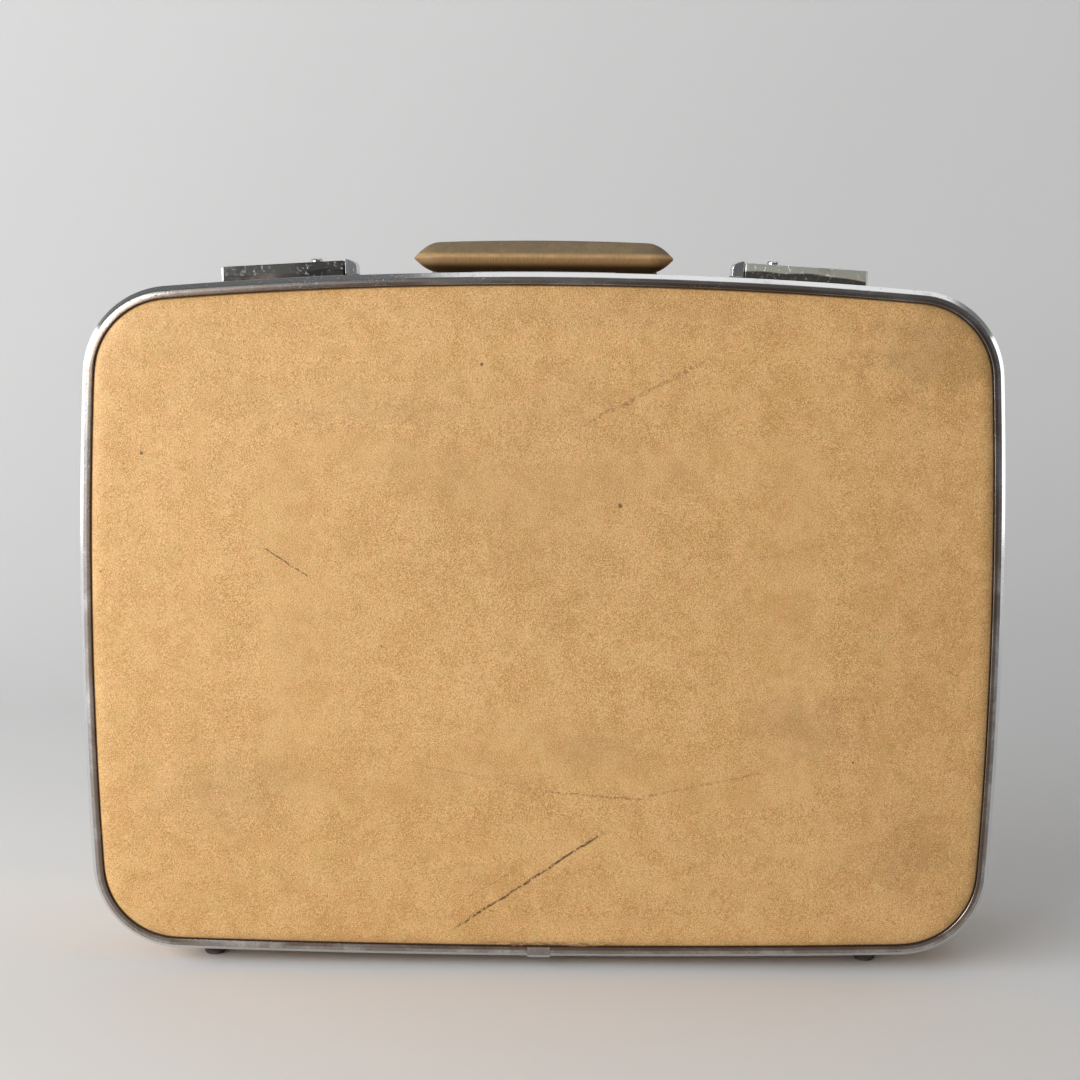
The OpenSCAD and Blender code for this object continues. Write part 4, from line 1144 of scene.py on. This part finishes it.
class SUITCASE_OT_linings(bpy.types.Operator):
    """Add the woven linings: a wall strip and a floor in each half"""

    bl_idname = "suitcase.linings"
    bl_label = "Linings"

    board_t = 3 * MM
    slack = 0.25 * MM
    slack_border = 20 * MM

    def execute(self, context):
        shell, trim, colours, outline = user_settings()
        cloth = woven_lining("Woven_Lining", colours)
        outer = trim.rail_face + trim.rail_t + shell.vinyl_t + self.board_t
        inner = outer + trim.lining_t
        around = outline.around((outer + inner) / 2)
        for half, side in HALVES:
            start, end = depths(f"{half}_lining")
            floor_y = end - trim.lining_t
            section = [(outer, start), (outer, floor_y), (inner, floor_y), (inner, start)]
            wall = sweep(f"{half}_lining_wall", outline, side, section, 0.2 * MM)
            dress(wall, cloth, half, f"{half}_lining")
            floor = laid_grid(f"{half}_lining_floor", outline, shell, outer, 0, lambda d: side * end)
            self.slacken(floor, side)
            modify(floor, "SOLIDIFY", thickness=trim.lining_t, offset=-side)
            dress(floor, cloth, half, f"{half}_lining", smooth=50, crisp=False)
        return {"FINISHED"}

    def slacken(self, floor, side):
        """Lifts a sheet a little off its board, less towards its border."""
        edge = floor.data.attributes["edge_distance"].data
        for v in floor.data.vertices:
            share = min(1, edge[v.index].value / self.slack_border)
            v.co.y -= side * self.slack * share * (0.9 + unevenness(v.co.x, v.co.z, 11.0 * side))


class SUITCASE_OT_grip(bpy.types.Operator):
    """Add the handle's grip"""

    bl_idname = "suitcase.grip"
    bl_label = "Grip"

    # Half of the section's outline each, as (share of the depth, share of the height)
    upper = (
        (0.5, 0.0), (0.495, 0.05), (0.42, 0.16), (0.29, 0.33), (0.13, 0.46), (-0.02, 0.5), (-0.18, 0.47),
        (-0.34, 0.37), (-0.46, 0.2),
    )
    lower = (
        (-0.5, 0.0), (-0.46, -0.2), (-0.34, -0.37), (-0.18, -0.47), (-0.02, -0.5), (0.13, -0.47),
        (0.29, -0.39), (0.42, -0.26), (0.485, -0.12),
    )
    tip = 15.6 * MM
    arch = 1.6 * MM
    tip_rings, straight_rings = 16, 12

    def execute(self, context):
        _, _, colours, _ = user_settings()
        low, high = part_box("handle_grip")
        middle, size = (low + high) / 2, high - low
        half = size.x / 2
        straight = half - self.tip
        turns = [math.pi / 2 * k / self.tip_rings for k in range(self.tip_rings + 1)]
        ends = [straight + math.sin(turn) * self.tip for turn in turns]
        inner = [straight * (2 * k / self.straight_rings - 1) for k in range(1, self.straight_rings)]
        rings = []
        for x in [-end for end in reversed(ends)] + inner + ends:
            t = max(0, (abs(x) - straight) / self.tip)
            thick = size.z * (1 - 0.93 * t**2) * (1 - 0.02 * min(1, (x / straight) ** 2))
            deep = size.y * (1 - 0.5 * t**2)
            z = middle.z - self.arch * (x / half) ** 2
            rings.append([(x, middle.y - a * deep, z + b * thick) for a, b in self.upper + self.lower])
        obj = extrude_rings("grip", rings, capped=True)
        modify(obj, "SUBSURF", levels=1, render_levels=1)
        cloth = grip_leathercloth("Grip_Leathercloth", colours, middle.z, size.z / 2)
        dress(obj, cloth, "handle", "handle_grip", smooth=70, crisp=False)
        return {"FINISHED"}


class SUITCASE_OT_flaps(bpy.types.Operator):
    """Add the latch flaps, folded from sheet metal"""

    bl_idname = "suitcase.flaps"
    bl_label = "Latch flaps"

    lug_r = 3 * MM
    lug_foot = 2.8 * MM
    rear_skirt = 2.2 * MM
    front_drop = 0.35 * MM
    corner_flat = 1.4 * MM

    def execute(self, context):
        _, trim, colours, outline = user_settings()
        latch = Latch(outline, trim)
        low, high = latch.box("right_latch_flap")
        pin = sum(latch.box("right_flap_pin"), Vector()) / 2
        skirt = latch.box("right_latch_catch")[0].z + 0.1 * MM
        front, foot, rear = low.z - self.front_drop, pin.z - self.lug_foot, high.z - self.rear_skirt
        profile = [
            (low.y, front), (low.y + 2.4 * MM, front), (low.y + 3.2 * MM, skirt), (pin.y - 2 * MM, skirt),
            (pin.y - 1.2 * MM, foot), (pin.y + 1.2 * MM, foot), (pin.y + self.lug_r, pin.z), (high.y, rear),
            (high.y, high.z), (low.y, high.z),
        ]
        rings = [[(x, y, z) for y, z in profile] for x in (low.x, high.x)]
        obj = extrude_rings("flap_cover", rings, capped=True)
        self.flatten_corner(obj, high.x, low.y)
        drop_faces(obj, lambda c, n: n.z < -0.3 and abs(n.x) < 0.5 or n.y > 0.3 and c.z < rear)
        bevel(obj, 1.1 * MM, segments=4, degrees=60)
        modify(obj, "SOLIDIFY", thickness=trim.sheet_t, offset=-1, use_even_offset=True)
        bevel(obj, 0.15 * MM, segments=2, degrees=50)
        # The left flap's plating is painted darker and the right's lighter, standing in for what each
        # reflects; the left also has more stain
        finishes = ((-1, colours.chrome_painted_dark, 0.75, 0.22), (1, colours.chrome, 0.25, 0.42))
        x, _, z = latch.place.translation
        slope, reach = math.tan(latch.tilt), high.x * math.cos(latch.tilt)
        for (side, piece), (sign, bright, stain, roughness) in zip(latch.pair(obj, "flap_cover"), finishes):
            seat = (sign * x, z, -sign * slope, reach)
            chrome = latch_chrome(f"Latch_Chrome_{side.title()}", colours, bright, stain, roughness, seat)
            dress(piece, chrome, f"{side}_flap", f"{side}_latch_flap")
        return {"FINISHED"}

    def flatten_corner(self, obj, x, y):
        """Cuts the upright edge at a corner of the flap."""
        near = 0.1 * MM

        def at_corner(edge):
            return all(abs(v.co.x - x) < near and abs(v.co.y - y) < near for v in edge.verts)

        work_on(obj, "EDGE", at_corner, bpy.ops.mesh.bevel, offset=self.corner_flat, segments=1)


class SUITCASE_OT_thumb_slides(bpy.types.Operator):
    """Add the thumb slides, each with its tail and window"""

    bl_idname = "suitcase.thumb_slides"
    bl_label = "Thumb slides"

    # The rounded inner end: distance along the button and drop from its top, in millimetres
    curve = (
        (0, 5.3), (0.12, 4.6), (0.3, 4), (0.55, 3.3), (0.9, 2.7), (1.4, 2.2), (1.9, 1.8),
        (3.3, 1.1), (5.8, 0),
    )
    flap_gap = 0.6 * MM
    tail_low, tail_front, tail_back = 1.3 * MM, 3 * MM, 10 * MM
    # The tail's window: its side walls, its end wall, and how far it starts before the spring
    window_side, window_end, window_lead = 1.6 * MM, 3 * MM, 2.1 * MM

    def execute(self, context):
        _, trim, colours, outline = user_settings()
        latch = Latch(outline, trim)
        low, high = latch.box("right_thumb_slide")
        button_out = latch.box("right_latch_flap")[0].x - self.flap_gap
        curve = [(low.x + along * MM, high.z - drop * MM) for along, drop in self.curve]
        foot = self.tail_low
        profile = [(button_out, high.z), *reversed(curve), (low.x, foot), (button_out, foot)]
        rings = [[(x, y, z) for x, z in profile] for y in (low.y, high.y)]
        button = extrude_rings("button", rings, capped=True)
        drop_faces(button, lambda c, n: n.z < -0.9)
        bevel(button, 0.5 * MM, segments=3, degrees=50)
        modify(button, "SOLIDIFY", thickness=trim.sheet_t, offset=-1, use_even_offset=True)
        window_in = latch.box("right_slide_spring")[0].x - self.window_lead
        across = (low.x + trim.sheet_t / 2, window_in, high.x - self.window_end, high.x)
        tail = self.tail(across, trim.sheet_t)
        bright, dull = (0.56, 0.58, 0.61), colours.tarnish
        chrome = aged_metal("Button_Chrome", bright, dull, roughness=0.20, stain=0.3, pitted=0.3)
        for side, piece in latch.pair(join("button", [button, tail]), "thumb_button"):
            dress(piece, chrome, f"{side}_slide", f"{side}_thumb_slide")
        return {"FINISHED"}

    def tail(self, across, thickness):
        """A flat tail with a long window, cut from a grid of three by three cells."""
        side = self.window_side
        deep = (self.tail_front, self.tail_front + side, self.tail_back - side, self.tail_back)
        obj = add("tail", "grid", x_subdivisions=3, y_subdivisions=3, size=2)
        for v in obj.data.vertices:
            column, row = round((v.co.x + 1) * 1.5), round((v.co.y + 1) * 1.5)
            v.co = (across[column], deep[row], self.tail_low)
        drop_faces(obj, lambda c, n: across[1] < c.x < across[2] and deep[1] < c.y < deep[2])
        modify(obj, "SOLIDIFY", thickness=thickness, offset=1)
        return obj


class SUITCASE_OT_springs(bpy.types.Operator):
    """Add the slides' return springs, which shorten as the slides travel"""

    bl_idname = "suitcase.springs"
    bl_label = "Return springs"

    travel = 6.1 * MM

    def execute(self, context):
        _, trim, colours, outline = user_settings()
        latch = Latch(outline, trim)
        low, high = latch.box("right_slide_spring")
        fixed = latch.place @ Vector((low.x, (low.y + high.y) / 2, (low.z + high.z) / 2))
        along = latch.place.to_3x3() @ Vector((1, 0, 0))
        bright, dull = colours.steel, colours.tarnish
        wire = aged_metal("Spring_Wire", bright, dull, roughness=0.24, stain=0.3, pitted=0.2)
        for side, sign in SIDES:
            node = f"{side}_slide_spring"
            obj = link(f"{side}_return_spring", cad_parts[node].data.copy())
            clean(obj, 0.001 * MM)
            dress(obj, wire, "base", node, smooth=70, crisp=False)
            axis, anchor = (sign * along.x, 0, along.z), (sign * fixed.x, fixed.y, fixed.z)
            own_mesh(obj)
            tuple(axis)
            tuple(anchor)
        return {"FINISHED"}


class SUITCASE_OT_feet(bpy.types.Operator):
    """Add the four feet, turned and rounded"""

    bl_idname = "suitcase.feet"
    bl_label = "Feet"

    tip_r, screw_r, recess, edge = 6.5 * MM, 3.25 * MM, 2.4 * MM, 1.2 * MM
    screw_edge = 0.4 * MM
    steps = 48

    def execute(self, context):
        _, trim, colours, outline = user_settings()
        rubber = hard_rubber("Foot_Rubber", colours)
        for half, _ in HALVES:
            low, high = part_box(f"{half}_feet")
            y, top_r = (low.y + high.y) / 2, (high.y - low.y) / 2
            x = high.x - top_r
            seat = outline.bottom_z(x, trim.rail_face + trim.rail_t) + 0.05 * MM
            right = self.foot(x, y, top_r, seat)
            obj = join(f"{half}_stud_feet", [right, mirrored(right, "foot_left")])
            dress(obj, rubber, half, f"{half}_feet")
        return {"FINISHED"}

    def foot(self, x, y, top_r, seat):
        """A stud turned about its own axis: recess, tip, flank and a seat on the vinyl."""
        shape = [
            (0.0, self.recess),
            (self.screw_r, self.recess),
            (self.screw_r, self.screw_edge),
            (self.screw_r + self.screw_edge, 0.0),
            (self.tip_r - self.edge, 0.0),
            (self.tip_r - 0.35 * self.edge, 0.35 * self.edge),
            (self.tip_r, self.edge),
            (top_r, seat),
            (0.0, seat),
        ]
        turns = [math.tau * k / self.steps for k in range(self.steps)]
        rings = [[(x + r * math.cos(a), y + r * math.sin(a), z) for a in turns] for r, z in shape]
        return extrude_rings("foot_right", rings, capped=False)


class SUITCASE_OT_fittings(bpy.types.Operator):
    """Give the boards, hinges, brackets, plates, pins and rivets their finishes"""

    bl_idname = "suitcase.fittings"
    bl_label = "Fittings"

    def execute(self, context):
        _, _, colours, _ = user_settings()
        board = fibreboard("Pressed_Fibreboard", colours)
        bright, dull = colours.steel, (0.16, 0.12, 0.085)
        steel = aged_metal("Plated_Steel", bright, dull, 0.30, stain=0.45, pitted=0.5, rounded=0.25 * MM)
        bright, dull = (0.46, 0.46, 0.45), (0.12, 0.115, 0.11)
        chrome = aged_metal("Barrel_Chrome", bright, dull, 0.16, stain=0.4, pitted=0.4, rounded=0.2 * MM)
        # Painted shade: the parts under the latch flaps get the darkest plating
        painted_shade_chrome = latch_chrome("Hidden_Chrome", colours, colours.chrome_painted_dark, stain=0.9, roughness=0.35)
        finishes = {
            "band": board,
            "panel": board,
            "lock_barrel": chrome,
            "keeper": painted_shade_chrome,
            "latch_catch": painted_shade_chrome,
            "latch_plate": painted_shade_chrome,
        }
        for name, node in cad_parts.items():
            if node.hide_render:
                continue
            for slot in node.material_slots:
                slot.material = finishes.get(name.partition("_")[2], steel)
        return {"FINISHED"}


OPERATORS = (
    SUITCASE_OT_stage,
    SUITCASE_OT_faces,
    SUITCASE_OT_side_covers,
    SUITCASE_OT_mouldings,
    SUITCASE_OT_rails,
    SUITCASE_OT_linings,
    SUITCASE_OT_grip,
    SUITCASE_OT_flaps,
    SUITCASE_OT_thumb_slides,
    SUITCASE_OT_springs,
    SUITCASE_OT_feet,
    SUITCASE_OT_fittings,
)
GROUPS = {
    "suitcase_shell": SuitcaseShell,
    "suitcase_trim": SuitcaseTrim,
    "suitcase_colours": SuitcaseColours,
    "suitcase_studio": SuitcaseStudio,
}


class SUITCASE_PT_build(bpy.types.Panel):
    """Lists the steps that build the suitcase"""

    bl_label = "Suitcase"
    bl_idname = "SUITCASE_PT_build"
    bl_space_type = "VIEW_3D"
    bl_region_type = "UI"
    bl_category = "Suitcase"

    def draw(self, context):
        for name, group in GROUPS.items():
            column = self.layout.column(heading=group.__doc__)
            for key in group.__annotations__:
                column.prop(getattr(context.scene, name), key)
        for operator in OPERATORS:
            self.layout.operator(operator.bl_idname)


CLASSES = (*GROUPS.values(), *OPERATORS, SUITCASE_PT_build)


def register():
    for cls in CLASSES:
        bpy.utils.register_class(cls)
    for name, group in GROUPS.items():
        setattr(bpy.types.Scene, name, PointerProperty(type=group))


def unregister():
    for name in GROUPS:
        delattr(bpy.types.Scene, name)
    for cls in reversed(CLASSES):
        bpy.utils.unregister_class(cls)


def main():
    register()
    for operator in OPERATORS:
        group, step = operator.bl_idname.split(".")
        getattr(getattr(bpy.ops, group), step)()
    deselect()


if __name__ == "__main__":
    main()
